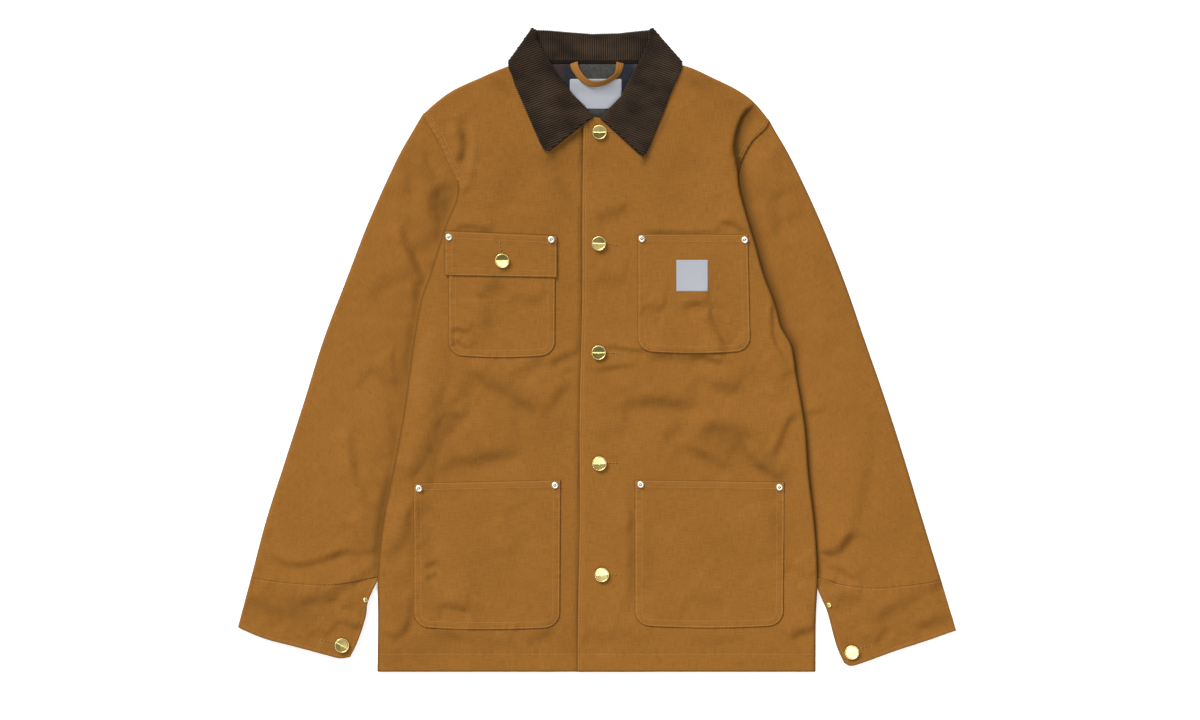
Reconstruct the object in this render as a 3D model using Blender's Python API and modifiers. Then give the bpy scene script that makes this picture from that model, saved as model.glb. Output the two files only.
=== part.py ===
"""A canvas chore jacket, buttoned and laid flat on its back.

The wearer's right lies at -X, the hem at -Y, and the underside rests at Z = 0.
Tables hold millimetres; one factor turns them into metres when a mesh is made.
"""
import math
from collections import namedtuple

import bpy
import numpy as np

MM = 0.001

# Walls and the air between pieces.
GAP = 0.3
CLOTH_GAP = 0.4
BODY_WALL = 1.8
SLEEVE_WALL = 2.5
CUFF_WALL = 2.0
CORDUROY_WALL = 1.7
UNDER_COLLAR_WALL = 1.0
POCKET_WALL = 1.2
LINING_WALL = 1.0
LABEL_WALL = 0.8
TAPE_WALL = 1.2

# Heights of the outer surfaces above the floor.
CENTRE_TOP = 7.4
OVERLAP_DROP = BODY_WALL + CLOTH_GAP
SLEEVE_SHELF = 9.0
HEM_TOP = 5.2
HEM_OVERLAP_TOP = 6.4
NECK_TOP = 9.4
SLEEVE_PRESSED = 6.0
SLEEVE_CROWN = 8.8
CUFF_TOP = 7.6
CUFF_PRESS = 2.4             # how much the body presses a cuff down where it lies on it
BACK_NECK_LIFT = 3.6

# The jacket's main lines.
HEM_Y = -402.0
UNDERARM_Y = 63.0
EDGE_ROUND = 3.0
ROUND_ANGLES = (0.0, 12.0, 50.0, 90.0)

Edge = namedtuple("Edge", "y right left")
BODY_SIDE = (
    Edge(-402, -275, 273.5), Edge(-330, -274, 274), Edge(-281, -274, 276),
    Edge(-219, -268, 272.5), Edge(-156, -256, 265), Edge(-93, -244, 260),
    Edge(-31, -235, 250), Edge(0, -231, 243), Edge(32, -226, 231),
    Edge(63, -220, 221), Edge(94, -209, 209), Edge(126, -199, 200),
    Edge(157, -189, 191), Edge(188, -176, 182), Edge(212, -169.5, 177.5),
    Edge(237, -179, 179.3), Edge(260, -191, 190.7), Edge(276, -202, 203),
)
SLEEVE_OUTER = (
    Edge(275.6, -230, 222.5), Edge(238, -251, 244), Edge(163, -285, 279),
    Edge(88, -314, 309), Edge(13, -342.5, 335), Edge(-62, -366, 361),
    Edge(-137, -390, 385), Edge(-212, -414, 407.5),
)
# The armhole below the visible seam runs on under the front to the underarm.
ARMHOLE = (
    Edge(276, -202, 203), Edge(260, -191, 190.7), Edge(237, -179, 179.3),
    Edge(212, -169.5, 172), Edge(185, -163, 163), Edge(150, -155, 155),
    Edge(105, -145.5, 145.5), Edge(63, -141, 141),
)

Spot = namedtuple("Spot", "x y")
SHOULDER_POINT = {"right": Spot(-219, 295), "left": Spot(216.5, 287.5)}
SHOULDER_LINE = {
    "right": (Spot(-218.4, 295), Spot(-201, 310.6), Spot(-180, 325.6),
              Spot(-147.5, 340.6), Spot(-110.5, 355.6), Spot(-85, 360.3)),
    "left": (Spot(215.9, 287.5), Spot(196.5, 310.6), Spot(176.3, 325.6),
             Spot(146.3, 340.6), Spot(111.3, 355.6), Spot(77, 360.3)),
}
CUFF_SEAM_INNER = {"right": Spot(-272, -283), "left": Spot(270, -283)}
FRONT_EDGE = {"right": (Spot(19, -401), Spot(17, 287)),
              "left": (Spot(-25, -400), Spot(-17.5, 286.3))}
# Top edge of a front between its corner and the end of the collar.
FRONT_TOP = {"right": (Spot(4, 287.5), Spot(-5, 288)),
             "left": (Spot(-9.5, 289.4), Spot(-2.5, 291.6), Spot(4.5, 290.4))}

# Stations of the collar from the back of the neck to its front end.
# turn: -90 where the fall faces the floor, +90 where it faces up on the front.
Station = namedtuple("Station", "turn neck roll fall")
COLLAR_BACK = Station(-90, Spot(-6, 358.4), Spot(-6, 399.1), Spot(-6, 344))
COLLAR = {
    "right": (
        Station(-90, Spot(-35, 358.4), Spot(-37, 399), Spot(-42, 345)),
        Station(-90, Spot(-58, 358.4), Spot(-62, 399), Spot(-78, 349)),
        Station(-90, Spot(-76, 358), Spot(-77.9, 398.5), Spot(-105.8, 357.8)),
        Station(-45, Spot(-76, 358), Spot(-77.9, 398.5), Spot(-105.8, 357.8)),
        Station(0, Spot(-76, 358), Spot(-77.9, 398.5), Spot(-105.8, 357.8)),
        Station(45, Spot(-76, 358), Spot(-77.9, 398.5), Spot(-105.8, 357.8)),
        Station(90, Spot(-76, 358), Spot(-77.9, 398.5), Spot(-105.8, 357.8)),
        Station(90, Spot(-79, 350), Spot(-76.5, 386), Spot(-110, 353)),
        Station(90, Spot(-80, 342), Spot(-71, 375.5), Spot(-106, 345)),
        Station(90, Spot(-78.5, 333), Spot(-63, 364), Spot(-100.5, 332.5)),
        Station(90, Spot(-75, 324), Spot(-56.2, 350.3), Spot(-93.5, 316.5)),
        Station(90, Spot(-68, 314.5), Spot(-47.3, 337.8), Spot(-87, 301.5)),
        Station(90, Spot(-52, 301), Spot(-32.5, 318.6), Spot(-77.5, 279.5)),
        Station(90, Spot(-30, 291.5), Spot(-17.4, 303.6), Spot(-69, 260)),
        Station(90, Spot(-12, 290.2), Spot(-9, 292), Spot(-63.8, 248.1)),
    ),
    "left": (
        Station(-90, Spot(24, 358.4), Spot(26, 399), Spot(31, 345)),
        Station(-90, Spot(48, 358.4), Spot(51, 399), Spot(66, 349)),
        Station(-90, Spot(68, 358), Spot(66.5, 398.5), Spot(100.5, 357.8)),
        Station(-45, Spot(68, 358), Spot(66.5, 398.5), Spot(100.5, 357.8)),
        Station(0, Spot(68, 358), Spot(66.5, 398.5), Spot(100.5, 357.8)),
        Station(45, Spot(68, 358), Spot(66.5, 398.5), Spot(100.5, 357.8)),
        Station(90, Spot(68, 358), Spot(66.5, 398.5), Spot(100.5, 357.8)),
        Station(90, Spot(72, 350), Spot(66, 385), Spot(106, 353)),
        Station(90, Spot(73, 342), Spot(60.5, 372.5), Spot(101.5, 343)),
        Station(90, Spot(72, 333), Spot(55.2, 360.5), Spot(95.5, 330)),
        Station(90, Spot(69, 324), Spot(47.4, 345.9), Spot(88.5, 313)),
        Station(90, Spot(62, 314.5), Spot(40, 332.2), Spot(82, 298)),
        Station(90, Spot(48, 301), Spot(31.8, 315.6), Spot(73.5, 278.5)),
        Station(90, Spot(29, 290.5), Spot(17.2, 301), Spot(64, 257)),
        Station(90, Spot(13, 289.5), Spot(8.2, 292), Spot(57.5, 244.4)),
    ),
}
COLLAR_HALF = 2.9            # half of the collar's folded thickness
TURN_INNER = 0.7             # radius inside the stand where the collar doubles back
FIRST_NECK_STATION = 6       # from here on the stand is sewn to the front

# Folds: soft troughs (height < 0) and ridges, straight from one end to the other.
Fold = namedtuple("Fold", "x0 y0 x1 y1 width height")
FRONT_FOLDS = (
    Fold(-181, 155, -131, 152, 7, -1.6),      # above the flap
    Fold(-169, -21, -109, -62, 14, -2.6),     # the long V under the right chest pocket
    Fold(-109, -62, -81, -76, 14, -2.6),
    Fold(-81, -76, -30, -47, 12, -1.6),
    Fold(-176, -83, -211, -131, 13, -1.6),
    Fold(-179, -147, -100, -128, 13, -1.8),
    Fold(-219, 0, -245, -157, 12, 1.0),       # ridge along the right side
    Fold(55, 150, 156, 147, 7, -1.4),         # above the left chest pocket
    Fold(55, 2, 148, -12, 9, -1.6),
    Fold(128, -34, 170, -51, 11, -2.0),
    Fold(47, -67, 122, -67, 14, -2.2),
    Fold(109, -118, 156, -140, 13, -2.4),
    Fold(150, -101, 186, -104, 14, -1.6),
    Fold(186, -132, 234, -161, 11, -1.0),
    Fold(172, 234, 197, 300, 9, 1.6),         # ridge beside the left armhole
)
SLEEVE_FOLDS = {
    "right": (
        Fold(-229, 250, -198, 214, 9, -1.6),
        Fold(-190, 212, -198, 169, 12, -1.6),
        Fold(-241, 154, -213, 74, 10, -2.4),
        Fold(-278, -18, -252, -56, 12, -2.0),
        Fold(-321, -149, -286, -210, 13, -2.0),
        Fold(-315, -237, -281, -262, 10, -1.8),
        Fold(-330, 60, -290, -60, 20, 0.8),
    ),
    "left": (
        Fold(354, -149, 329, -243, 14, -1.8),
        Fold(300, 200, 255, 120, 18, 0.8),
        Fold(279, -283, 310, -296, 8, -1.6),
        Fold(262, 60, 300, -60, 16, -1.2),
    ),
}

# Pockets: outline from the top left corner; the bottom corners are rounded.
Pocket = namedtuple("Pocket", "left top_left right top_right bottom slant round")
POCKETS = {
    "chest_pocket_right": Pocket(-185.5, 148, -52.0, 143, -9.0, 0.5, 17),
    "chest_pocket_left": Pocket(51.0, 145, 188.5, 144.5, -4.0, -3.0, 17),
    "hip_pocket_right": Pocket(-229.0, -166, -45.5, -162, -349.0, 1.0, 18),
    "hip_pocket_left": Pocket(47.5, -162, 234.0, -164.5, -347.0, 1.0, 18),
}
FLAP = {"left": -190.0, "right": -50.0, "top": 148.0, "bottom": 93.0}
CHEST_LABEL = {"left": 99.0, "right": 139.0, "bottom": 73.5, "top": 113.5}
NECK_LABEL = {"left": -34.0, "right": 31.0, "bottom": 302.0, "top": 339.5}

# Hanger loop: the tape's middle line from one sewn end to the other.
Loop = namedtuple("Loop", "x y rise")
HANGER_LOOP = (
    Loop(-29, 356.5, 0.3), Loop(-25.5, 350, 0.8), Loop(-19.5, 342.5, 1.6),
    Loop(-11, 336.8, 2.2), Loop(0, 334.6, 2.4), Loop(12, 337, 2.2),
    Loop(20.5, 343.5, 1.6), Loop(26, 350.5, 0.8), Loop(29, 356.5, 0.3),
)
LOOP_WIDTH = 6.0

# Turned profiles: radius and height above the cloth.
Turn = namedtuple("Turn", "radius height")
BUTTON_PROFILE = (
    Turn(0.0, 4.3), Turn(5.6, 4.0), Turn(6.6, 3.9), Turn(7.4, 4.7), Turn(8.5, 4.6),
    Turn(9.0, 3.7), Turn(8.2, 2.4), Turn(4.0, 1.4), Turn(4.0, 0.0), Turn(0.0, 0.0),
)
RIVET_PROFILE = (
    Turn(0.0, 1.5), Turn(2.6, 1.7), Turn(4.0, 1.3), Turn(4.6, 0.4), Turn(4.4, 0.0),
    Turn(0.0, 0.0),
)
BUTTON_STEPS = 12
RIVET_STEPS = 12
FRONT_BUTTONS = (Spot(3.1, 272.6), Spot(2.6, 133.4), Spot(2.0, -2.7),
                 Spot(3.1, -141.1), Spot(6.2, -280.0))
FLAP_BUTTON = Spot(-118.5, 112.3)
CUFF_BUTTONS = {"right": Spot(-318.8, -368.5), "left": Spot(318.4, -376.6)}
POCKET_RIVETS = {
    "rivet_chest_right_outer": Spot(-185.0, 141.5), "rivet_chest_right_inner": Spot(-57.0, 138.5),
    "rivet_chest_left_inner": Spot(56.0, 139.5), "rivet_chest_left_outer": Spot(184.5, 138.0),
    "rivet_hip_right_outer": Spot(-222.5, -172.5), "rivet_hip_right_inner": Spot(-52.5, -168.5),
    "rivet_hip_left_inner": Spot(54.5, -167.5), "rivet_hip_left_outer": Spot(228.0, -171.0),
}
CUFF_RIVETS = {"right": Spot(-292.0, -312.0), "left": Spot(293.5, -318.5)}

# Cuffs: the seam that joins the sleeve, and the free edge, outer end first.
CUFF_SEAM = {
    "right": (Spot(-433, -284), Spot(-405, -288), Spot(-377, -291), Spot(-336, -293),
              Spot(-305, -289), Spot(-286, -285), Spot(-272, -283)),
    "left": (Spot(430.5, -287), Spot(410, -291), Spot(376, -295), Spot(349, -297),
             Spot(308, -293), Spot(288, -287), Spot(270, -283)),
}
CUFF_FREE = {
    "right": (Spot(-449.5, -346.5), Spot(-430, -355), Spot(-411, -362), Spot(-377.5, -370.6),
              Spot(-340, -380.6), Spot(-322, -385), Spot(-309, -383.5)),
    "left": (Spot(449.5, -350.5), Spot(433, -356), Spot(416, -362), Spot(377, -374.5),
             Spot(334, -390), Spot(318, -394.5), Spot(309, -391)),
}
CUFF_INNER = {
    "right": (Spot(-272, -283), Spot(-281, -306), Spot(-288, -322), Spot(-296, -354),
              Spot(-309, -383.5)),
    "left": (Spot(270, -283), Spot(282, -313), Spot(288, -327), Spot(299, -368),
             Spot(309, -391)),
}

CANVAS = (0.36, 0.15, 0.035, 1.0)
CORDUROY = (0.035, 0.022, 0.015, 1.0)
LINING = (0.055, 0.055, 0.06, 1.0)
LABEL = (0.48, 0.50, 0.53, 1.0)
TAPE = (0.50, 0.20, 0.03, 1.0)
BRASS = (0.75, 0.6, 0.3, 1.0)


# ---------------------------------------------------------------- curves

def ease(value, start, end):
    """Smooth step from 0 at start to 1 at end."""
    t = min(max((value - start) / (end - start), 0.0), 1.0)
    return t * t * (3.0 - 2.0 * t)


def smooth_line(points, steps=12):
    """A Catmull-Rom curve through the points, as a dense polyline."""
    p = np.array([(q[0], q[1]) for q in points], float)
    p = np.vstack([2 * p[0] - p[1], p, 2 * p[-1] - p[-2]])
    line = []
    for a, b, c, d in zip(p, p[1:], p[2:], p[3:]):
        for k in range(steps):
            t = k / steps
            line.append(0.5 * (2 * b + (c - a) * t + (2 * a - 5 * b + 4 * c - d) * t * t
                               + (3 * b - a - 3 * c + d) * t ** 3))
    line.append(p[-2])
    return np.array(line)


def point_along(line, fraction):
    """The point at a fraction of a polyline's length."""
    lengths = np.concatenate([[0], np.cumsum(np.linalg.norm(np.diff(line, axis=0), axis=1))])
    at = fraction * lengths[-1]
    return np.array([np.interp(at, lengths, line[:, 0]), np.interp(at, lengths, line[:, 1])])


def edge_line(table, side):
    """Dense (x, y) line of an edge table, rising in y."""
    rows = sorted(table, key=lambda row: row.y)
    return smooth_line([(getattr(row, side), row.y) for row in rows])


SIDES = ("right", "left")
OUTWARD = {"right": -1.0, "left": 1.0}
SIDE_LINE = {side: edge_line(BODY_SIDE, side) for side in SIDES}


def side_x(side, y):
    """X of the body's visible side: its fold, then the armhole seam."""
    line = SIDE_LINE[side]
    return float(np.interp(y, line[:, 1], line[:, 0]))


def armhole_x(side, y):
    """X of the armhole as straight runs between its named points."""
    rows = sorted(ARMHOLE, key=lambda row: row.y)
    return float(np.interp(y, [row.y for row in rows], [getattr(row, side) for row in rows]))


def sleeve_inner_x(side, y):
    """X of the sleeve's inner edge, from the underarm to the cuff."""
    low = CUFF_SEAM_INNER[side]
    high = OUTWARD[side] * abs(ARMHOLE[-1].right)
    return float(np.interp(y, [low.y, UNDERARM_Y], [low.x, high]))


def side_of(x):
    return "left" if x > 0 else "right"


def fold_height(folds, x, y):
    """Sum of the folds at a point; each fades out past its ends."""
    total = 0.0
    for fold in folds:
        run = np.array([fold.x1 - fold.x0, fold.y1 - fold.y0])
        length = float(np.hypot(*run))
        away = np.array([x - fold.x0, y - fold.y0])
        along = float(away @ run) / length
        across = float(away[0] * run[1] - away[1] * run[0]) / length
        past = max(-along, along - length, 0.0)
        total += fold.height * math.exp(-(across / fold.width) ** 2 - (past / fold.width) ** 2)
    return total


# ---------------------------------------------------------------- heights

def sleeve_top(side, x, y):
    """Height of a sleeve's upper surface, before its edges round down."""
    outside = abs(x) - abs(side_x(side, min(y, 275.0)))
    seam_shown = ease(y, 214, 246) if side == "right" else ease(y, 244, 272)
    pressed = SLEEVE_PRESSED + 1.4 * seam_shown
    crown = SLEEVE_CROWN - (SLEEVE_CROWN - CUFF_TOP) * ease(-y, 200, 285)
    shown = ease(outside, 12, 50)
    return pressed + (crown - pressed) * shown + fold_height(SLEEVE_FOLDS[side], x, y) * shown


def front_top(x, y):
    """Height of the fronts' upper surface, before their edges round down."""
    side = side_of(x)
    inside_sleeve = abs(x) - abs(sleeve_inner_x(side, y))
    over_sleeve = ease(inside_sleeve, -48, -2) * ease(y, -352, -300)
    over_head = ease(abs(x), 105, 150) * ease(y, 40, 70) * (1 - ease(y, 232, 272) * 0.9)
    shelf = max(over_sleeve * (y <= UNDERARM_Y), over_head * (y > UNDERARM_Y),
                over_sleeve * over_head)
    height = CENTRE_TOP + (SLEEVE_SHELF - CENTRE_TOP) * shelf
    near_neck = ease(y, 215, 262) * (1 - ease(abs(x + 3), 122, 165))
    height += (NECK_TOP - height) * near_neck
    hem = 1 - ease(y, HEM_Y, HEM_Y + 60)
    centre = 1 - ease(abs(x), 40, 85)
    hem_top = HEM_TOP + (HEM_OVERLAP_TOP - HEM_TOP) * centre
    height += (hem_top - height) * hem
    return height + fold_height(FRONT_FOLDS, x, y) * (1 - near_neck) * (1 - hem)


def front_floor(x, y):
    """Top of what lies under the fronts."""
    side = side_of(x)
    if y < -352:
        return BODY_WALL
    if y < UNDERARM_Y:
        on_sleeve = ease(abs(x) - abs(sleeve_inner_x(side, y)), -32, -5) * ease(y, -352, -325)
        return BODY_WALL + (SLEEVE_PRESSED - BODY_WALL) * on_sleeve
    on_sleeve = ease(abs(x) - abs(armhole_x(side, y)), -26, -4) * (1 - ease(y, 225, 250))
    lifted = BODY_WALL + BACK_NECK_LIFT * neck_lift(x, y)
    return lifted + (SLEEVE_PRESSED - lifted) * on_sleeve


def neck_lift(x, y):
    """How far the back's neck is raised over the collar's fall, from 0 to 1."""
    return ease(y, 318, 341) * (1 - ease(abs(x + 3), 112, 135))


def front_surface(side, x, y):
    """Upper surface of one front: the right one runs under the left one."""
    height = front_top(x, y)
    if side == "right":
        height -= OVERLAP_DROP * ease(x, -78, -32)
    return max(height, front_floor(x, y) + CLOTH_GAP + BODY_WALL)


# ---------------------------------------------------------------- meshes

def collection(name):
    made = bpy.data.collections.new(name)
    bpy.context.scene.collection.children.link(made)
    return made


def principled(name, colour, roughness, metallic=0.0):
    material = bpy.data.materials.new(name)
    material.use_nodes = True
    shader = material.node_tree.nodes["Principled BSDF"]
    shader.inputs["Base Color"].default_value = colour
    shader.inputs["Roughness"].default_value = roughness
    shader.inputs["Metallic"].default_value = metallic
    return material


def add_object(name, mesh, material, smooth_angle=40.0):
    mesh.materials.append(material)
    mesh.shade_smooth()
    mesh.set_sharp_from_angle(angle=math.radians(smooth_angle))
    made = bpy.data.objects.new(name, mesh)
    JACKET.objects.link(made)
    return made


def grid_mesh(name, rows, flip=False, closed=False):
    """Quads between neighbouring rows of (x, y, z) points; closed rows are rings."""
    mesh = bpy.data.meshes.new(name)
    width = len(rows[0])
    points = [tuple(c * MM for c in point) for row in rows for point in row]
    faces = []
    for i in range(len(rows) - 1):
        for j in range(width if closed else width - 1):
            a, b = i * width + j, i * width + (j + 1) % width
            face = (a, b, b + width, a + width)
            faces.append(face[::-1] if flip else face)
    mesh.from_pydata(points, [], faces)
    mesh.update()
    return mesh


def add_shell(name, rows, wall, material, flip=False, closed=False):
    """A cloth wall: the rows are its outer surface, and the wall grows inwards."""
    made = add_object(name, grid_mesh(name, rows, flip, closed), material)
    solid = made.modifiers.new("wall", "SOLIDIFY")
    solid.thickness = wall * MM
    solid.offset = -1.0
    solid.use_even_offset = False
    return made


def add_turned(name, profile, steps, spot, height, material):
    """A button or rivet turned about a vertical axis, standing at a height."""
    mesh = bpy.data.meshes.new(name)
    mesh.from_pydata([(turn.radius * MM, 0, turn.height * MM) for turn in profile],
                     [(k, k + 1) for k in range(len(profile) - 1)], [])
    made = add_object(name, mesh, material)
    screw = made.modifiers.new("turn", "SCREW")
    screw.steps = screw.render_steps = steps
    screw.use_merge_vertices = True
    screw.merge_threshold = 0.00001
    screw.use_smooth_shade = True
    made.location = (spot.x * MM, spot.y * MM, height * MM)
    return made


# ---------------------------------------------------------------- fronts and back

NECK_CENTRE = np.array([-4.0, 330.0])


def neck_points(side):
    """Where the stand meets the front, from the front end to the shoulder."""
    stations = COLLAR[side][FIRST_NECK_STATION:]
    points = [np.array(station.neck, float) for station in stations[::-1]]
    points = [p + 2 * GAP * unit_of(p - NECK_CENTRE) for p in points[:-1]]
    return points + [neck_corner(side)]


def neck_corner(side):
    """End of a panel's neck edge, clear of the collar's doubled turn."""
    neck = COLLAR[side][FIRST_NECK_STATION].neck
    return np.array([neck.x + OUTWARD[side] * 4.2, neck.y - 0.5])


def neck_line(side):
    """A front's top edge from its front corner to the shoulder's inner end."""
    points = [np.array(p, float) for p in (FRONT_EDGE[side][1],) + FRONT_TOP[side]]
    points += neck_points(side) + [np.array(SHOULDER_LINE[side][-1], float)]
    split = []
    for p, q in zip(points, points[1:]):
        split += [p, (p + q) / 2] if np.linalg.norm(q - p) > LONG_STEP else [p]
    return np.array(split + [points[-1]])


LONG_STEP = 17.5
SIDE_ROWS = (276, 260, 237, 212, 190, 170, 150, 120, 90, 63, 40, 18, -5, -27, -49, -72, -95,
             -118, -141, -164, -190, -220, -250, -280, -304, -328, -352, -380, -402)
ROW_LAG = 90.0               # how far a row's front end lies below its end at the armhole
ROUND_STEPS = [(EDGE_ROUND * (1 - math.cos(math.radians(a))), math.sin(math.radians(a)))
               for a in ROUND_ANGLES]          # (distance from the edge, share of the rise)


def rim_height(y):
    """Height where a front's side edge ends, just above what it lies on."""
    below = SLEEVE_PRESSED + (BODY_WALL - SLEEVE_PRESSED) * ease(-y, 306, 352)
    return below + CLOTH_GAP + GAP


def shoulder_middle(x):
    """Height of the shoulder seam: the middle of the stack there."""
    near = 1 - ease(abs(x + 3), 118, 150)
    low = BACK_NECK_LIFT * near
    high = CENTRE_TOP + (NECK_TOP - CENTRE_TOP) * near
    return (low + high) / 2


RIM_GAP = 0.7                # half of the gap between rims that face each other


def front_rows(side):
    """Ends of a front's rows, from the neck down: (front y, outer point, rim, rounded)."""
    top = FRONT_EDGE[side][1].y
    shoulder = smooth_line(SHOULDER_LINE[side][::-1], 2)
    last = shoulder[-1][1] - ROW_LAG - 8
    rows = [(top + (last - top) * k / (len(shoulder) - 1), p,
             shoulder_middle(p[0]) + RIM_GAP, True) for k, p in enumerate(shoulder)]
    seam_ends = 212 if side == "right" else 237
    for y in SIDE_ROWS:
        front_y = y - ROW_LAG * ease(y, -60, 276)
        point = np.array([side_x(side, y), y])
        rows.append((front_y, point, rim_height(y), y < seam_ends))
    return rows


def build_front(side, material):
    neck = neck_line(side)
    lengths = np.concatenate([[0], np.cumsum(np.linalg.norm(np.diff(neck, axis=0), axis=1))])
    shares = lengths / lengths[-1]
    bows = neck - (neck[0] + np.outer(shares, neck[-1] - neck[0]))
    front_low, front_high = (np.array(p, float) for p in FRONT_EDGE[side])
    rows = []
    for front_y, outer, rim, rounded in front_rows(side):
        v = (front_y - front_low[1]) / (front_high[1] - front_low[1])
        start = front_low + (front_high - front_low) * v
        across = np.linalg.norm(outer - start)
        round_shares = [1 - d / across for d, _ in ROUND_STEPS[::-1]]
        inner_columns = [(u, bow, 1.0) for u, bow in zip(shares, bows) if u < 1]
        outer_columns = [(u, np.zeros(2), rise)
                         for u, (_, rise) in zip(round_shares, ROUND_STEPS[::-1])]
        row = []
        for u, bow, rise in inner_columns + outer_columns:
            p = start + (outer - start) * u + bow * ease(front_y, 60, front_high[1])
            height = front_surface(side, *p)
            if rounded:
                height = rim + (height - rim) * rise
            row.append((p[0], p[1], height))
        rows.append(row)
    add_shell("front_panel_" + side, rows, BODY_WALL, material, flip=side == "left")


BACK_NECK_Y = 357.6
BACK_ROWS = (-402, -366, -330, -300, -283, -240, -180, -110, -40, 20, 63, 85, 115, 150, 185,
             212, 237, 260, 276)


def back_edge_x(side, y):
    """X of the back's side edge, beside the sleeve or under the fold."""
    if y >= UNDERARM_Y:
        return armhole_x(side, y) - OUTWARD[side] * GAP
    fold = abs(side_x(side, y)) - GAP
    sleeve = abs(sleeve_inner_x(side, y)) - 2 * GAP
    return OUTWARD[side] * (min(fold, sleeve) if y > -300 else fold)


def back_top(side):
    """The back's top edge from the middle of the neck to the shoulder point."""
    shoulder = smooth_line(SHOULDER_LINE[side][::-1], 2)
    corner = neck_corner(side)
    middle = np.array([0.0, BACK_NECK_Y])
    return np.array([middle, (middle + corner) / 2, corner] + list(shoulder[::2]))


def build_back(material):
    tops = {side: back_top(side) for side in SIDES}
    shares = {}
    for side in SIDES:
        steps = np.linalg.norm(np.diff(tops[side], axis=0), axis=1)
        shares[side] = np.concatenate([[0], np.cumsum(steps)]) / steps.sum()
    rows = []
    for y in BACK_ROWS:
        row = []
        for side in SIDES:
            edge = back_edge_x(side, y)
            half = [(edge * share, y, 0.0) for share in shares[side]]
            row += half[::-1] if side == "right" else half[1:]
        rows.append(row)
    # Above the last row the grid follows the shoulders and the neck.
    base = [np.array(point[:2]) for point in rows[-1]]
    ends = list(tops["right"][::-1]) + list(tops["left"][1:])
    for step in (0.28, 0.52, 0.66, 0.76, 0.85):
        row = [p + (end - p) * step for p, end in zip(base, ends)]
        rows.append([(q[0], q[1], BACK_NECK_LIFT * neck_lift(*q)) for q in row])
    for d, rise in ROUND_STEPS[::-1]:
        row = []
        for p, end in zip(base, ends):
            q = end - d * unit_of(end - p)
            low = BACK_NECK_LIFT * neck_lift(*q)
            middle = shoulder_middle(end[0]) - RIM_GAP
            on_neck = abs(end[0] - NECK_CENTRE[0]) < 78
            row.append((q[0], q[1], low if on_neck else middle - (middle - low) * rise))
        rows.append(row)
    add_shell("back_panel", rows, BODY_WALL, material, flip=True)


# ---------------------------------------------------------------- sleeves and cuffs

SECTION_SHARES = tuple(k / 8 for k in range(9))
HEAD_GAP = 0.6
SLEEVE_STEPS = 15


def tube_ring(points, top_height, bottom_middle):
    """Closed ring over a section: across the top, round the inner edge, back below."""
    first, last = points[0], points[-1]
    length = np.linalg.norm(last - first)
    unit = (last - first) / length
    ring = []
    for d, rise in ROUND_STEPS:
        p = first + unit * d
        ring.append((p[0], p[1], bottom_middle + (top_height(*p) - bottom_middle) * rise))
    for p in points[1:-1]:
        ring.append((p[0], p[1], top_height(*p)))
    for d, rise in ROUND_STEPS[::-1]:
        p = last - unit * d
        ring.append((p[0], p[1], bottom_middle + (top_height(*p) - bottom_middle) * rise))
    for d, rise in ROUND_STEPS[1:]:
        p = last - unit * d
        ring.append((p[0], p[1], bottom_middle * (1 - rise)))
    for p in points[-3:1:-2]:
        ring.append((p[0], p[1], 0.0))
    for d, rise in ROUND_STEPS[:0:-1]:
        p = first + unit * d
        ring.append((p[0], p[1], bottom_middle * (1 - rise)))
    return ring


def build_sleeve(side, material):
    out = OUTWARD[side]
    shoulder = SHOULDER_POINT[side]
    foot = smooth_line(CUFF_SEAM[side])
    outer = smooth_line([(shoulder.x + out * HEAD_GAP, shoulder.y - HEAD_GAP)]
                        + [(getattr(row, side), row.y) for row in SLEEVE_OUTER] + [foot[0]])
    inner = np.array([(out * abs(ARMHOLE[-1].right), UNDERARM_Y), CUFF_SEAM_INNER[side]], float)
    head = np.array([outer[0]] + [(getattr(row, side) + out * HEAD_GAP, row.y)
                                  for row in ARMHOLE], float)
    rings = []
    for k in range(SLEEVE_STEPS):
        s = k / (SLEEVE_STEPS - 1)
        a, b = point_along(outer, s), inner[0] + (inner[1] - inner[0]) * s
        section = []
        for t in SECTION_SHARES:
            head_bow = head_point(head, t) - (head[0] + (head[-1] - head[0]) * t)
            foot_bow = point_along(foot, t) - (foot[0] + (foot[-1] - foot[0]) * t)
            bow = head_bow * (1 - s) ** 3 + foot_bow * s ** 4
            section.append(a + (b - a) * t + bow)
        rings.append(tube_ring(section, lambda x, y: sleeve_top(side, x, y), 3.0))
    add_shell("sleeve_" + side, rings, SLEEVE_WALL, material, flip=side == "right", closed=True)


def head_point(head, t):
    """A point of the armhole polyline, its share counted by named points."""
    at = t * (len(head) - 1)
    return np.array([np.interp(at, range(len(head)), head[:, 0]),
                     np.interp(at, range(len(head)), head[:, 1])])


def cuff_top(s, t):
    """Height of a cuff, pressed at its inner end where the body lies on it."""
    return CUFF_TOP - CUFF_PRESS * (1 - ease(s, 0.0, 0.25)) * ease(t, 0.6, 1.0)


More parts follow.
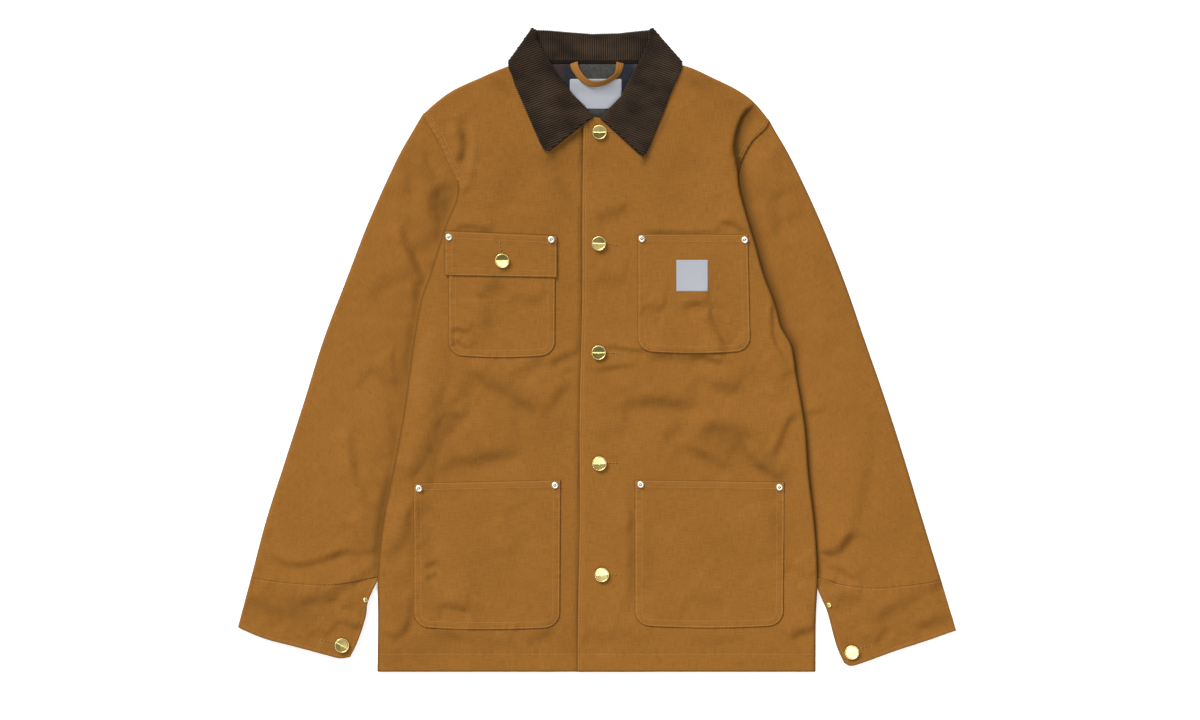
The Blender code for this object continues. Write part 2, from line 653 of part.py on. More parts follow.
def build_cuff(side, material):
    out = OUTWARD[side]
    seam = smooth_line(CUFF_SEAM[side])
    free = smooth_line(CUFF_FREE[side])
    inner = smooth_line(CUFF_INNER[side])
    outer = np.array([CUFF_SEAM[side][0], CUFF_FREE[side][0]], float)
    shares = SECTION_SHARES
    rows = []
    steps = (0.012, 0.25, 0.5, 0.75, 1.0)
    for s in steps:
        a, b = outer[0] + (outer[1] - outer[0]) * s, point_along(inner, s)
        section = []
        for t in shares:
            bow = (point_along(seam, t) - seam[0] - (seam[-1] - seam[0]) * t) * (1 - s)
            bow = bow + (point_along(free, t) - free[0] - (free[-1] - free[0]) * t) * s
            section.append(a + (b - a) * t + bow)
        unit = (section[-1] - section[0]) / np.linalg.norm(section[-1] - section[0])
        middle = CUFF_TOP / 2
        row = [(p[0], p[1], cuff_top(s, t)) for t, p in list(zip(shares, section))[:0:-1]]
        for d, rise in ROUND_STEPS[::-1]:
            p = section[0] + unit * d
            row.append((p[0], p[1], middle + middle * rise))
        for d, rise in ROUND_STEPS[1:]:
            p = section[0] + unit * d
            row.append((p[0], p[1], middle - middle * rise))
        for t, p in zip(shares[1:], section[1:]):
            back = 4.0 if t == 1.0 else 0.0
            row.append((p[0] + out * back, p[1], 0.0))
        rows.append(row)
    add_shell("cuff_" + side, rows, CUFF_WALL, material, flip=side == "left")


# ---------------------------------------------------------------- collar

def all_stations():
    """Stations from the right front end round the back to the left one."""
    right = [("right", station) for station in COLLAR["right"]][::-1]
    left = [("left", station) for station in COLLAR["left"]]
    return right + [("right", COLLAR_BACK)] + left


def unit_of(v):
    return v / np.linalg.norm(v)


def collar_frame(side, station):
    """Directions of a station: down the stand, down the fall, and its outward normal."""
    roll = np.array([*station.roll, 0.0])
    stand = np.array([*station.neck, 0.0]) - roll
    fall = np.array([*station.fall, 0.0]) - roll
    turn = math.radians(station.turn)
    last = COLLAR[side][FIRST_NECK_STATION]
    run = unit_of(np.array([*last.fall, 0.0]) - np.array([*last.roll, 0.0]))
    lateral = np.array([-run[1], run[0], 0.0])
    if lateral[0] * OUTWARD[side] < 0:
        lateral = -lateral
    normal = lateral * math.cos(turn) + np.array([0, 0, 1.0]) * math.sin(turn)
    radius = COLLAR_HALF + TURN_INNER
    axis_height = 2 * COLLAR_HALF + TURN_INNER
    centre = roll + lateral * radius * math.cos(turn)
    centre[2] = axis_height + radius * math.sin(turn)
    return centre, stand, fall, normal


def collar_section(side, station):
    """Outer corduroy line of a station, from the neck seam over the roll to the fall."""
    centre, stand, fall, normal = collar_frame(side, station)
    half = COLLAR_HALF
    down = -unit_of(unit_of(stand) + unit_of(fall))
    line = [centre + stand * s - normal * half for s in (1.0, 0.5)]
    for angle in (-90, -45, 0, 45, 90):
        a = math.radians(angle)
        line.append(centre + normal * half * math.sin(a) + down * half * math.cos(a))
    line += [centre + fall * s + normal * half for s in (0.33, 0.66, 1.0)]
    return [tuple(p) for p in line]


def under_collar_section(side, station):
    """Outer canvas line of a station, just inside the corduroy of the fall."""
    centre, _, fall, normal = collar_frame(side, station)
    inside = COLLAR_HALF - CORDUROY_WALL - GAP
    shown = 1.2 / np.linalg.norm(fall) if station.turn == 90 else 0.0
    return [tuple(centre + fall * s + normal * inside) for s in (0.1, 0.4, 0.7, 1.0 + shown)]


def build_collar(corduroy, canvas):
    stations = all_stations()
    add_shell("collar", [collar_section(*s) for s in stations], CORDUROY_WALL, corduroy,
              flip=True)
    add_shell("under_collar", [under_collar_section(*s) for s in stations],
              UNDER_COLLAR_WALL, canvas, flip=True)


# ---------------------------------------------------------------- neck

NECK_ROWS = (302, 318, 322.5, 327, 330.5, 334)
NECK_GAP = 0.6


def lining_top(x, y):
    return BODY_WALL + BACK_NECK_LIFT * neck_lift(x, y) + NECK_GAP + LINING_WALL


def build_neck(materials):
    columns = np.linspace(-1, 1, 9)
    rows = []
    for y in (274, 288) + NECK_ROWS + (NECK_LABEL["top"], 345, 357):
        half = 57 - 27 * ease(-y, -345, -262)
        rows.append([(-4 + c * half, y, lining_top(-4 + c * half, y)) for c in columns])
    add_shell("neck_lining", rows, LINING_WALL, materials["lining"])
    rows = []
    for y in NECK_ROWS + (NECK_LABEL["top"],):
        xs = np.linspace(NECK_LABEL["left"], NECK_LABEL["right"], 4)
        rows.append([(x, y, lining_top(x, y) + CLOTH_GAP + LABEL_WALL) for x in xs])
    add_shell("neck_label", rows, LABEL_WALL, materials["label"])
    line = np.array([(p.x, p.y) for p in HANGER_LOOP], float)
    rows = []
    for k, point in enumerate(HANGER_LOOP):
        ahead = line[min(k + 1, len(line) - 1)] - line[max(k - 1, 0)]
        side = np.array([-ahead[1], ahead[0]]) / np.linalg.norm(ahead) * LOOP_WIDTH / 2
        top = lining_top(0.0, 345.0) + point.rise + TAPE_WALL
        rows.append([(*(line[k] + side), top), (*(line[k] - side), top)])
    add_shell("hanger_loop", rows, TAPE_WALL, materials["tape"])


# ---------------------------------------------------------------- pockets and labels

def pocket_rows(pocket):
    """Plan of a patch pocket as rows from its top down to its rounded bottom."""
    height = pocket.top_left - pocket.bottom
    corner = pocket.round / height
    shares = [0.0, 0.06, 0.2, 0.36, 0.52, 0.68, 1 - corner]
    shares += [1 - corner * (1 - math.sin(math.radians(a))) for a in (35, 65, 90)]
    rows = []
    for v in shares:
        inset = 0.0
        if v > 1 - corner:
            rise = (v - (1 - corner)) / corner
            inset = pocket.round * (1 - math.sqrt(max(1 - rise * rise, 0.0)))
        row = []
        for u in (0.0, 0.04, 0.2, 0.4, 0.6, 0.8, 0.96, 1.0):
            left = pocket.left + inset
            right = pocket.right - pocket.slant * v - inset
            x = left + (right - left) * u
            top = pocket.top_left + (pocket.top_right - pocket.top_left) * u
            row.append((x, top + (pocket.bottom - top) * v))
        rows.append(row)
    return rows[::-1]


def laid_on(side, x, y, wall):
    """Upper surface of a piece of cloth laid on a front."""
    reach = 10.0
    below = max(front_surface(side, x + dx, y + dy)
                for dx, dy in ((0, 0), (reach, 0), (-reach, 0), (0, reach), (0, -reach)))
    return below + CLOTH_GAP + wall


def build_pockets(materials):
    for name, pocket in POCKETS.items():
        side = name.rsplit("_", 1)[1]
        rows = [[(x, y, laid_on(side, x, y, POCKET_WALL)) for x, y in row]
                for row in pocket_rows(pocket)]
        add_shell(name, rows, POCKET_WALL, materials["canvas"])
    rows = []
    for y in np.linspace(FLAP["bottom"], FLAP["top"], 6):
        row = []
        for x in np.linspace(FLAP["left"], FLAP["right"], 9):
            z = laid_on("right", x, y, POCKET_WALL) + GAP + POCKET_WALL
            row.append((x, y, z))
        rows.append(row)
    add_shell("chest_pocket_flap", rows, POCKET_WALL, materials["canvas"])
    rows = []
    for y in np.linspace(CHEST_LABEL["bottom"], CHEST_LABEL["top"], 3):
        xs = np.linspace(CHEST_LABEL["left"], CHEST_LABEL["right"], 3)
        rows.append([(x, y, laid_on("left", x, y, POCKET_WALL) + CLOTH_GAP + LABEL_WALL)
                     for x in xs])
    add_shell("chest_label", rows, LABEL_WALL, materials["label"])


# ---------------------------------------------------------------- buttons and rivets

def highest(surface, spot, radius):
    """Highest point of a surface under a round piece."""
    ring = [(spot.x + radius * r * math.cos(a), spot.y + radius * r * math.sin(a))
            for a in np.linspace(0, 2 * math.pi, 8, endpoint=False) for r in (0.5, 1.0)]
    return max(surface(x, y) for x, y in ring + [(spot.x, spot.y)])


def build_metal(brass):
    for number, spot in enumerate(FRONT_BUTTONS, start=1):
        z = highest(lambda x, y: front_surface("left", x, y), spot, 9)
        add_turned(f"front_button_{number}", BUTTON_PROFILE, BUTTON_STEPS, spot,
                   z + CLOTH_GAP, brass)
    on_flap = POCKET_WALL + GAP
    z = highest(lambda x, y: laid_on("right", x, y, POCKET_WALL), FLAP_BUTTON, 9) + on_flap
    add_turned("flap_button", BUTTON_PROFILE, BUTTON_STEPS, FLAP_BUTTON, z + CLOTH_GAP, brass)
    for side, spot in CUFF_BUTTONS.items():
        add_turned("cuff_button_" + side, BUTTON_PROFILE, BUTTON_STEPS, spot,
                   CUFF_TOP + CLOTH_GAP, brass)
    for name, spot in POCKET_RIVETS.items():
        side = name.split("_")[2]
        z = highest(lambda x, y: laid_on(side, x, y, POCKET_WALL), spot, 4.6)
        if name.startswith("rivet_chest_right"):
            z += on_flap
        add_turned(name, RIVET_PROFILE, RIVET_STEPS, spot, z + CLOTH_GAP, brass)
    for side, spot in CUFF_RIVETS.items():
        add_turned("rivet_cuff_" + side, RIVET_PROFILE, RIVET_STEPS, spot,
                   CUFF_TOP + CLOTH_GAP, brass)


# ---------------------------------------------------------------- the jacket

for old in list(bpy.data.objects):
    bpy.data.objects.remove(old)
JACKET = collection("chore_jacket")
MATERIALS = {
    "canvas": principled("canvas", CANVAS, 0.85),
    "corduroy": principled("corduroy", CORDUROY, 0.9),
    "lining": principled("plaid_lining", LINING, 0.95),
    "label": principled("label_cloth", LABEL, 0.7),
    "tape": principled("cotton_tape", TAPE, 0.9),
    "brass": principled("brass", BRASS, 0.3, 1.0),
}
build_back(MATERIALS["canvas"])
for jacket_side in SIDES:
    build_sleeve(jacket_side, MATERIALS["canvas"])
    build_cuff(jacket_side, MATERIALS["canvas"])
    build_front(jacket_side, MATERIALS["canvas"])
build_collar(MATERIALS["corduroy"], MATERIALS["canvas"])
build_neck(MATERIALS)
build_pockets(MATERIALS)
build_metal(MATERIALS["brass"])
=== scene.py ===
import math
from functools import partial

import bpy
import numpy as np
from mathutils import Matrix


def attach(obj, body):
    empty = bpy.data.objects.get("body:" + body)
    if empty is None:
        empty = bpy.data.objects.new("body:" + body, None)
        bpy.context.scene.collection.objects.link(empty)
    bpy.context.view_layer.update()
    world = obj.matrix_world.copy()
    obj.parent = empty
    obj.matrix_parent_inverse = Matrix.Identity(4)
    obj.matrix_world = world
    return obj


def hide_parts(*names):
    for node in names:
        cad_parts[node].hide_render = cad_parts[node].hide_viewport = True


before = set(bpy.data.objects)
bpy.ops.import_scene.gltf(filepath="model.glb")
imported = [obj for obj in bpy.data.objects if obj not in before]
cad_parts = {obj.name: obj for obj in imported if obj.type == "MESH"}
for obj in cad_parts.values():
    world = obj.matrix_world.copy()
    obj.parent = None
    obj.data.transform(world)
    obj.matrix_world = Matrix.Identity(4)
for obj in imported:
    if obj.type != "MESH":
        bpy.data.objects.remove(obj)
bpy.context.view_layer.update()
print("frame loaded:", len(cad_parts), "nodes")

mm = 0.001
sides = ("right", "left")                  # the wearer's right lies at -X
outward = {"right": -1.0, "left": 1.0}

# Lines of the coat, in millimetres. Rows are (y, x on the right, x on the left).
outline = {
    "hemY": -402.0,
    "underarmX": 141.0, "underarmY": 63.0, "neckMiddle": -3.0,
    "bodySide": [
        (-402, -275, 273.5), (-330, -274, 274), (-281, -274, 276), (-219, -268, 272.5),
        (-156, -256, 265), (-93, -244, 260), (-31, -235, 249.5), (4, -230.5, 244),
        (22, -227.5, 234.5), (32, -226, 229.5),
        (63, -220, 221), (94, -209, 209), (126, -199, 200), (157, -189, 191), (188, -176, 182),
        (212, -175, 177.5), (237, -187.5, 181), (260, -198, 193), (276, -207.5, 209.5)],
    "sleeveOuter": [
        (275.6, -230, 222.5), (238, -251, 244), (163, -285, 279), (88, -314, 309),
        (13, -342.5, 335), (-62, -366, 361), (-137, -390, 385), (-212, -414, 407.5)],
    "armhole": [
        (276, -207.5, 209.5), (260, -198, 193), (237, -187.5, 181), (212, -175, 172),
        (185, -163, 163), (150, -155, 155), (105, -145.5, 145.5), (63, -141, 141)],
    "shoulder": {
        "right": [(-218.4, 295), (-201, 310.6), (-180, 325.6), (-147.5, 340.6),
                  (-110.5, 355.6), (-85, 360.3)],
        "left": [(215.9, 287.5), (196.5, 310.6), (176.3, 325.6), (146.3, 340.6),
                 (111.3, 355.6), (77, 360.3)]},
    "cuffCorner": {"right": (-272, -283), "left": (270, -283)},
    "cuffOuter": {"right": [(-433, -284), (-449.5, -346.5)],
                  "left": [(430.5, -287), (449.5, -350.5)]},
}

# Heights of the outer surfaces above the floor, in millimetres.
heights = {
    "centre": 7.4, "overlapDrop": 2.2, "overSleeve": 9.0, "hem": 5.2, "hemOverlap": 6.4,
    "neck": 9.4, "sleevePressed": 6.0, "sleeveCrown": 8.8, "cuff": 7.6, "cuffPress": 2.4,
    "backNeckLift": 3.6, "bodyWall": 1.8, "clothGap": 0.4, "gap": 0.3,
}


def ease(value, start, end):
    t = np.clip((np.asarray(value, float) - start) / (end - start), 0.0, 1.0)
    return t * t * (3.0 - 2.0 * t)


def fade(value, start, end):
    return 1 - ease(value, start, end)


def mix(a, b, share):
    return a + (b - a) * share


def bell(distance, width):
    return np.exp(-(distance / width) ** 2)


def groove(distance, depth, width=1.3):
    return -depth * bell(distance, width)


def grooves(distance, places, depth):
    return sum(groove(distance - place, depth, 1.0) for place in places)


# How far a rounded rim has risen at a distance from its edge, and what it still lacks.
def roundRise(distance, radius):
    t = np.clip(1 - distance / radius, 0, 1)
    return np.sqrt(np.clip(1 - t * t, 0, 1))


def roundDrop(distance, radius):
    return 1 - roundRise(distance, radius)


def smoothLine(points, steps=12):
    p = np.array([(q[0], q[1]) for q in points], float)
    p = np.vstack([2 * p[0] - p[1], p, 2 * p[-1] - p[-2]])
    t = (np.arange(steps) / steps)[:, None]
    parts = [0.5 * (2 * b + (c - a) * t + (2 * a - 5 * b + 4 * c - d) * t * t
                    + (3 * b - a - 3 * c + d) * t ** 3)
             for a, b, c, d in zip(p, p[1:], p[2:], p[3:])]
    return np.vstack(parts + [p[-2:-1]])


def lineLengths(line):
    return np.r_[0, np.cumsum(np.linalg.norm(np.diff(line, axis=0), axis=1))]


def alongLine(line, shares):
    lengths = lineLengths(line)
    at = np.asarray(shares, float) * lengths[-1]
    return np.stack([np.interp(at, lengths, line[:, k]) for k in range(line.shape[1])], -1)


def evenLine(line, step):
    count = max(int(round(lineLengths(line)[-1] / step)), 1)
    return alongLine(line, np.linspace(0, 1, count + 1))


# How far a line bows away from the straight between its ends.
def bowOf(line, shares):
    return alongLine(line, shares) - (line[0] + shares[:, None] * (line[-1] - line[0]))


# Shares from 0 to 1 that crowd at both ends, after the given steps in millimetres.
def clusteredShares(count, length, steps):
    first = np.array(steps) / length
    return np.r_[first, np.linspace(first[-1], 1 - first[-1], count)[1:-1], 1 - first[::-1]]


# Distance to a polyline, signed to its left, and the length along it.
def nearLine(line, x, y):
    best = np.full(np.shape(x), 1e9)
    sign = np.ones(np.shape(x))
    along = np.zeros(np.shape(x))
    lengths = lineLengths(line)
    for k, (p, q) in enumerate(zip(line, line[1:])):
        run = q - p
        size = math.hypot(*run)
        if size < 1e-9:
            continue
        t = np.clip(((x - p[0]) * run[0] + (y - p[1]) * run[1]) / size ** 2, 0, 1)
        away = np.hypot(x - p[0] - run[0] * t, y - p[1] - run[1] * t)
        nearer = away < best
        best = np.where(nearer, away, best)
        cross = run[0] * (y - p[1]) - run[1] * (x - p[0])
        sign = np.where(nearer, np.where(cross >= 0, 1.0, -1.0), sign)
        along = np.where(nearer, lengths[k] + t * size, along)
    return best * sign, along


def awayFrom(line, x, y):
    return np.abs(nearLine(line, x, y)[0])


def softNoise(x, y, size, seed):
    u, v = np.asarray(x) / size, np.asarray(y) / size
    i, j = np.floor(u), np.floor(v)
    f, g = u - i, v - j
    f, g = f * f * (3 - 2 * f), g * g * (3 - 2 * g)

    def corner(a, b):
        h = np.sin((i + a) * 127.1 + (j + b) * 311.7 + seed * 74.7) * 43758.5453
        return h - np.floor(h)

    low = corner(0, 0) * (1 - f) + corner(1, 0) * f
    high = corner(0, 1) * (1 - f) + corner(1, 1) * f
    return low * (1 - g) + high * g - 0.5


# How uneven each cloth lies: a height in millimetres and a seed.
unevenness = {"front": (0.9, 1), "sleeve": (0.9, 3), "pocket": (0.5, 31), "flap": (0.3, 41),
              "lining": (0.5, 51), "fall": (1.1, 61), "stand": (0.9, 62)}


def uneven(place, x, y):
    height, seed = unevenness[place]
    return height * (0.7 * softNoise(x, y, 62, seed)
                     + 0.55 * softNoise(x + 0.4 * y, y, 27, seed + 5)
                     + 0.22 * softNoise(x, y, 11, seed + 9))


# Slow painted shade and painted light over the cloth, among them painted shadows under the collar's
# leaves: (x, y, half length, half width, turn, amount).
paintedShadingAreas = {
    "front": [
        (-205, -112, 50, 13, 63, -0.22), (-102, -55, 36, 11, -38, -0.16),
        (-155, -130, 40, 22, 8, -0.13), (-75, -95, 45, 22, 0, -0.06),
        (-169, 268, 16, 6, -58, -0.24), (-172, 240, 14, 6, 80, -0.14),
        (-157, 255, 32, 5, 88, 0.12), (-44, 205, 38, 10, -60, -0.13),
        (-121, 332, 18, 9, -35, -0.18), (-246, -335, 45, 14, 90, -0.15),
        (-235, -380, 40, 14, 0, -0.13), (-150, -362, 110, 16, 0, -0.10),
        (-222, -20, 80, 9, 82, 0.09), (-60, -338, 40, 16, 0, -0.05),
        (153, -108, 38, 14, -8, -0.14), (190, -125, 30, 12, -35, -0.13),
        (216, -152, 26, 10, -30, -0.18), (91, -66, 42, 8, 2, -0.12),
        (158, -40, 26, 9, -25, -0.12), (128, -10, 30, 6, -8, -0.16),
        (121, 336, 20, 8, -25, -0.17), (165, 312, 50, 12, -40, -0.10),
        (255, -350, 20, 8, 10, -0.10), (40, -357, 50, 12, 0, -0.06),
        (-20, 85, 40, 12, -4, -0.05), (-136, 48, 26, 12, 80, -0.09),
        (-128, 78, 26, 10, -20, -0.06), (146, 36, 26, 9, -62, -0.10),
        (166, 10, 14, 9, -45, -0.12), (110, 57, 24, 6, 0, -0.07),
        (-214, -255, 45, 10, 90, -0.14), (-180, -322, 32, 7, -6, -0.15),
        (-140, -255, 90, 80, 0, -0.06), (140, -255, 90, 80, 0, -0.06),
        (225, -215, 40, 11, -75, -0.11), (60, -240, 60, 7, 88, -0.03),
        (-110, -97, 95, 36, -6, -0.07), (152, -118, 66, 28, -14, -0.07),
        (50, -55, 60, 50, 0, -0.03),
        # painted shadows cast by the collar's leaves on the fronts
        (-34, 261, 27, 5.5, 38, -0.50), (-56, 243, 9, 6, 20, -0.35),
        (-11, 281, 8, 5, -45, -0.30), (77, 271, 27, 3, 64, -0.45),
        (61, 239.5, 8, 5, 60, -0.45)],
    "sleeve": [
        (-191, 182, 30, 9, 80, -0.30), (-204, 107, 8, 6, 0, -0.40),
        (-215, 213, 26, 12, -62, -0.13), (-239, 205, 20, 8, -80, -0.09),
        (-281, -187, 60, 12, 84, -0.07), (-240, -40, 80, 8, 82, -0.13),
        (-258, -150, 40, 8, 81, -0.06), (-269, -215, 60, 6, 84, -0.10),
        (-334, -305, 62, 16, 14, -0.10), (-300, -322, 26, 18, 30, -0.12),
        (-375, -332, 70, 30, -10, -0.14), (-420, -320, 30, 12, -40, -0.06),
        (-309, -74, 75, 35, 75, 0.08), (365, -340, 75, 32, 15, -0.14),
        (404, -300, 50, 12, 35, -0.06), (300, -310, 26, 16, 0, -0.12),
        (222, 165, 40, 10, -78, -0.10), (332, -160, 80, 9, 84, -0.07),
        (350, -230, 60, 40, 20, -0.05)],
}


def paintedShading(place, x, y):
    total = np.zeros(np.shape(x))
    for middleX, middleY, length, width, turn, amount in paintedShadingAreas[place]:
        a = math.radians(turn)
        along = (x - middleX) * math.cos(a) + (y - middleY) * math.sin(a)
        across = (y - middleY) * math.cos(a) - (x - middleX) * math.sin(a)
        total += amount * np.exp(-(along / length) ** 2 - (across / width) ** 2)
    return total * (1 + 0.9 * softNoise(x, y, 14, 81) + 0.6 * softNoise(x, y, 6, 82))


# Every fold has a crest and, round it, a wider and softer slope: the tail.
foldLook = {"tailShare": 0.9, "tailWidth": 2.4, "sway": 3.0, "fineSway": 1.2,
            "lamp": (-0.8, -0.6), "ends": 0.24, "strength": 1.35}


# Soft folds: the cloth falls across each line, to the side away from the lamp.
def foldHeight(folds, x, y):
    look = foldLook
    total = np.zeros(np.shape(x))
    sway = look["sway"] * softNoise(x, y, 19, 71) + look["fineSway"] * softNoise(x, y, 8, 72)
    for width, fall, points in folds:
        line = smoothLine(points, 4) if len(points) > 2 else np.array(points, float)
        d, along = nearLine(line, x, y)
        run = line[-1] - line[0]
        away = 1.0 if run[0] * look["lamp"][0] + run[1] * look["lamp"][1] > 0 else -1.0
        t = (d * away + sway * min(width / 8, 1)) / width
        fall = fall * (0.95 + 0.7 * softNoise(along + width * 31, along * 0, 22, 73))
        length = lineLengths(line)[-1]
        shown = look["strength"] * ease(along, 0, look["ends"] * length)
        shown = shown * fade(along, (1 - look["ends"]) * length, length)
        wide = t / look["tailWidth"]
        total -= fall * shown * (t * np.exp(0.5 - 0.5 * t * t)
                                 + look["tailShare"] * wide * np.exp(0.5 - 0.5 * wide * wide))
    return total


# Small ripples that cross sewn lines: reach, height and pitch in millimetres, and a seed.
ripples = {"armhole": (9, 0.5, 8.5, 4), "hem": (9, 0.42, 9.5, 2), "cuffSeam": (12, 0.7, 10.5, 6),
           "cuffEdge": (7, 0.4, 8.0, 12), "pocket": (8, 0.38, 8.0, 33), "flap": (7, 0.3, 8.5, 43)}


def puckers(place, line, x, y):
    reach, height, pitch, seed = ripples[place]
    d, along = nearLine(line, x, y)
    wander = 2.2 * softNoise(along, along * 0 + seed, 17, seed)
    size = 0.55 + softNoise(along, along * 0, 23, seed + 3)
    return height * size * bell(d, reach) * np.sin(2 * math.pi * (along / pitch + wander))


def sideRows(key, side):
    return [(row[1 + sides.index(side)], row[0]) for row in outline[key]]


sideLines = {side: smoothLine(sideRows("bodySide", side)) for side in sides}
armholeSeams = {side: smoothLine([outline["shoulder"][side][0]] + sideRows("armhole", side))
                for side in sides}
outerLines = {side: smoothLine(sideRows("sleeveOuter", side) + outline["cuffOuter"][side])
              for side in sides}


def sideX(side, y):
    return np.interp(y, sideLines[side][:, 1], sideLines[side][:, 0])


def armholeX(side, y):
    line = np.abs(np.array(sideRows("armhole", side)[::-1], float))
    return np.interp(y, line[:, 1], line[:, 0])


# Distance of a point on a sleeve beyond the body's side.
def pastSide(side, x, y):
    return np.abs(x) - np.abs(sideX(side, np.minimum(y, 275.0)))


# Distance beyond the sleeves' inner edges, which run from the underarms to the cuffs.
def pastInner(x, y):
    (rightX, cuffY), (leftX, _) = (outline["cuffCorner"][side] for side in sides)
    ys = [cuffY, outline["underarmY"]]
    right, left = (np.interp(y, ys, [abs(end), outline["underarmX"]]) for end in (rightX, leftX))
    return np.abs(x) - np.where(x > 0, left, right)


def fromNeck(x):
    return np.abs(x - outline["neckMiddle"])


def neckLift(x, y):
    return ease(y, 318, 341) * fade(fromNeck(x), 112, 135)


sleeveFolds = {
    # (half width, fall, points) of each fold, in millimetres, sleeve and cuff together
    "right": [
        (3.5, 0.8, [(-222, 246), (-217, 240), (-209, 228), (-199, 215)]),
        (7, 0.7, [(-250, 231), (-241, 223), (-237, 206), (-238, 188)]),
        (9, 2.0, [(-199, 214), (-202, 194), (-204, 176), (-198, 156), (-190, 140)]),
        (6, 1.8, [(-248, 166), (-241, 142), (-236, 126), (-228, 110), (-221, 98), (-211, 70)]),
        (6, 1.3, [(-232, 88), (-227, 72), (-223, 56), (-221, 40)]),
        (10, 1.1, [(-226, 44), (-229, 10), (-234, -24)]),
        (10, 0.8, [(-290, 66), (-276, 74), (-262, 88), (-250, 99)]),
        (9, 1.0, [(-284, -16), (-270, -28), (-256, -38), (-243, -30)]),
        (8, 0.9, [(-264, -66), (-258, -90), (-252, -112), (-249, -136)]),
        (6, 1.1, [(-312, -92), (-306, -122), (-303, -146), (-297, -166), (-283, -196)]),
        (8, 0.9, [(-261, -146), (-265, -172), (-269, -196), (-271, -220), (-272, -246)]),
        (6, 0.9, [(-318, -209), (-306, -221), (-299, -234), (-287, -250), (-273, -258)]),
        (4.5, 0.85, [(-424, -250), (-408, -257), (-390, -267), (-366, -268), (-340, -260),
                    (-312, -252), (-280, -258)]),
        (7, 0.8, [(-384, -318), (-362, -314), (-342, -308), (-322, -299), (-303, -287),
                  (-288, -277), (-272, -262)]),
        (5, 0.8, [(-324, -306), (-318, -320), (-302, -318)]),
        (5, 1.0, [(-324, -333), (-306, -345), (-290, -342)]),
        (9, 0.8, [(-438, -304), (-416, -319), (-380, -335)]),
        (5, 0.5, [(-356, -348), (-338, -360)]),
    ],
    "left": [
        (6, 1.5, [(268, -255), (286, -254), (300, -251), (311, -239), (322, -220)]),
        (8, 0.4, [(304, -246), (318, -226), (326, -203), (333, -184), (339, -158),
                  (342, -132), (342, -100), (346, -72)]),
        (4, 0.8, [(286, -268), (300, -273), (312, -279), (324, -290)]),
        (4, 0.8, [(273, -283), (286, -288), (300, -292)]),
        (10, 0.9, [(212, 194), (224, 166), (222, 136)]),
        (10, 0.8, [(220, 256), (230, 228), (248, 208)]),
        (9, 0.6, [(236, 160), (248, 168), (262, 173)]),
        (4, 0.5, [(251, -84), (268, -77), (290, -75)]),
        (12, 0.6, [(282, 48), (290, 22), (286, -8)]),
        (7, 0.5, [(344, -340), (362, -326), (380, -318), (396, -309), (412, -302)]),
        (7, 0.8, [(414, -304), (430, -292), (442, -282)]),
        (7, 0.8, [(390, -348), (418, -341), (444, -328)]),
        (5, 0.7, [(343, -369), (354, -356), (364, -341)]),
        (8, 0.6, [(302, -303), (318, -308), (334, -308)]),
    ],
}
outerFall = {"right": 0.9, "left": 2.2}    # how far a sleeve sinks toward its outer edge


# Folds of sleeve and cuff, and the slow fall toward their outer edge.
def sleeveCloth(side, x, y):
    crumple = 0.7 * softNoise(x - 0.6 * y, y, 17, 83) + 0.35 * softNoise(x, y, 8, 84)
    crumple = ease(-np.asarray(y, float), 255, 300) * crumple
    return (foldHeight(sleeveFolds[side], x, y) + uneven("sleeve", x, y) + crumple
            - outerFall[side] * fade(awayFrom(outerLines[side], x, y), 0, 32))


sleeveRelief = {
    "wrist": (200, 285), "head": (190, 225), "headRise": 0.8, "seamDent": 0.9, "lowest": 3.9,
    # distances from the body's side: where the sleeve rises, and a gutter's place and width
    "rise": {"right": (-2, 40), "left": (6, 62)}, "headEdge": (2, 34),
    "gutter": {"right": (2, 3, 0.6), "left": (5, 7, 2.0)},
}


def sleeveTop(side, x, y):
    relief = sleeveRelief
    outside = pastSide(side, x, y)
    seam = awayFrom(armholeSeams[side], x, y)
    head = ease(y, *relief["head"])
    rise = ease(outside, *relief["rise"][side])
    if side == "left":
        rise = mix(rise, ease(seam, *relief["headEdge"]), head)
    place, width, depth = relief["gutter"][side]
    wrist = ease(-np.asarray(y, float), *relief["wrist"])
    base = heights["sleevePressed"] + relief["headRise"] * head
    z = mix(base, mix(heights["sleeveCrown"], heights["cuff"], wrist), rise)
    z = z - depth * bell(outside - place, width) * (1 - head)
    z = z - relief["seamDent"] * head * bell(seam - 1.0, 1.8)
    return np.maximum(z + sleeveCloth(side, x, y) * ease(outside, -4, 12), relief["lowest"])


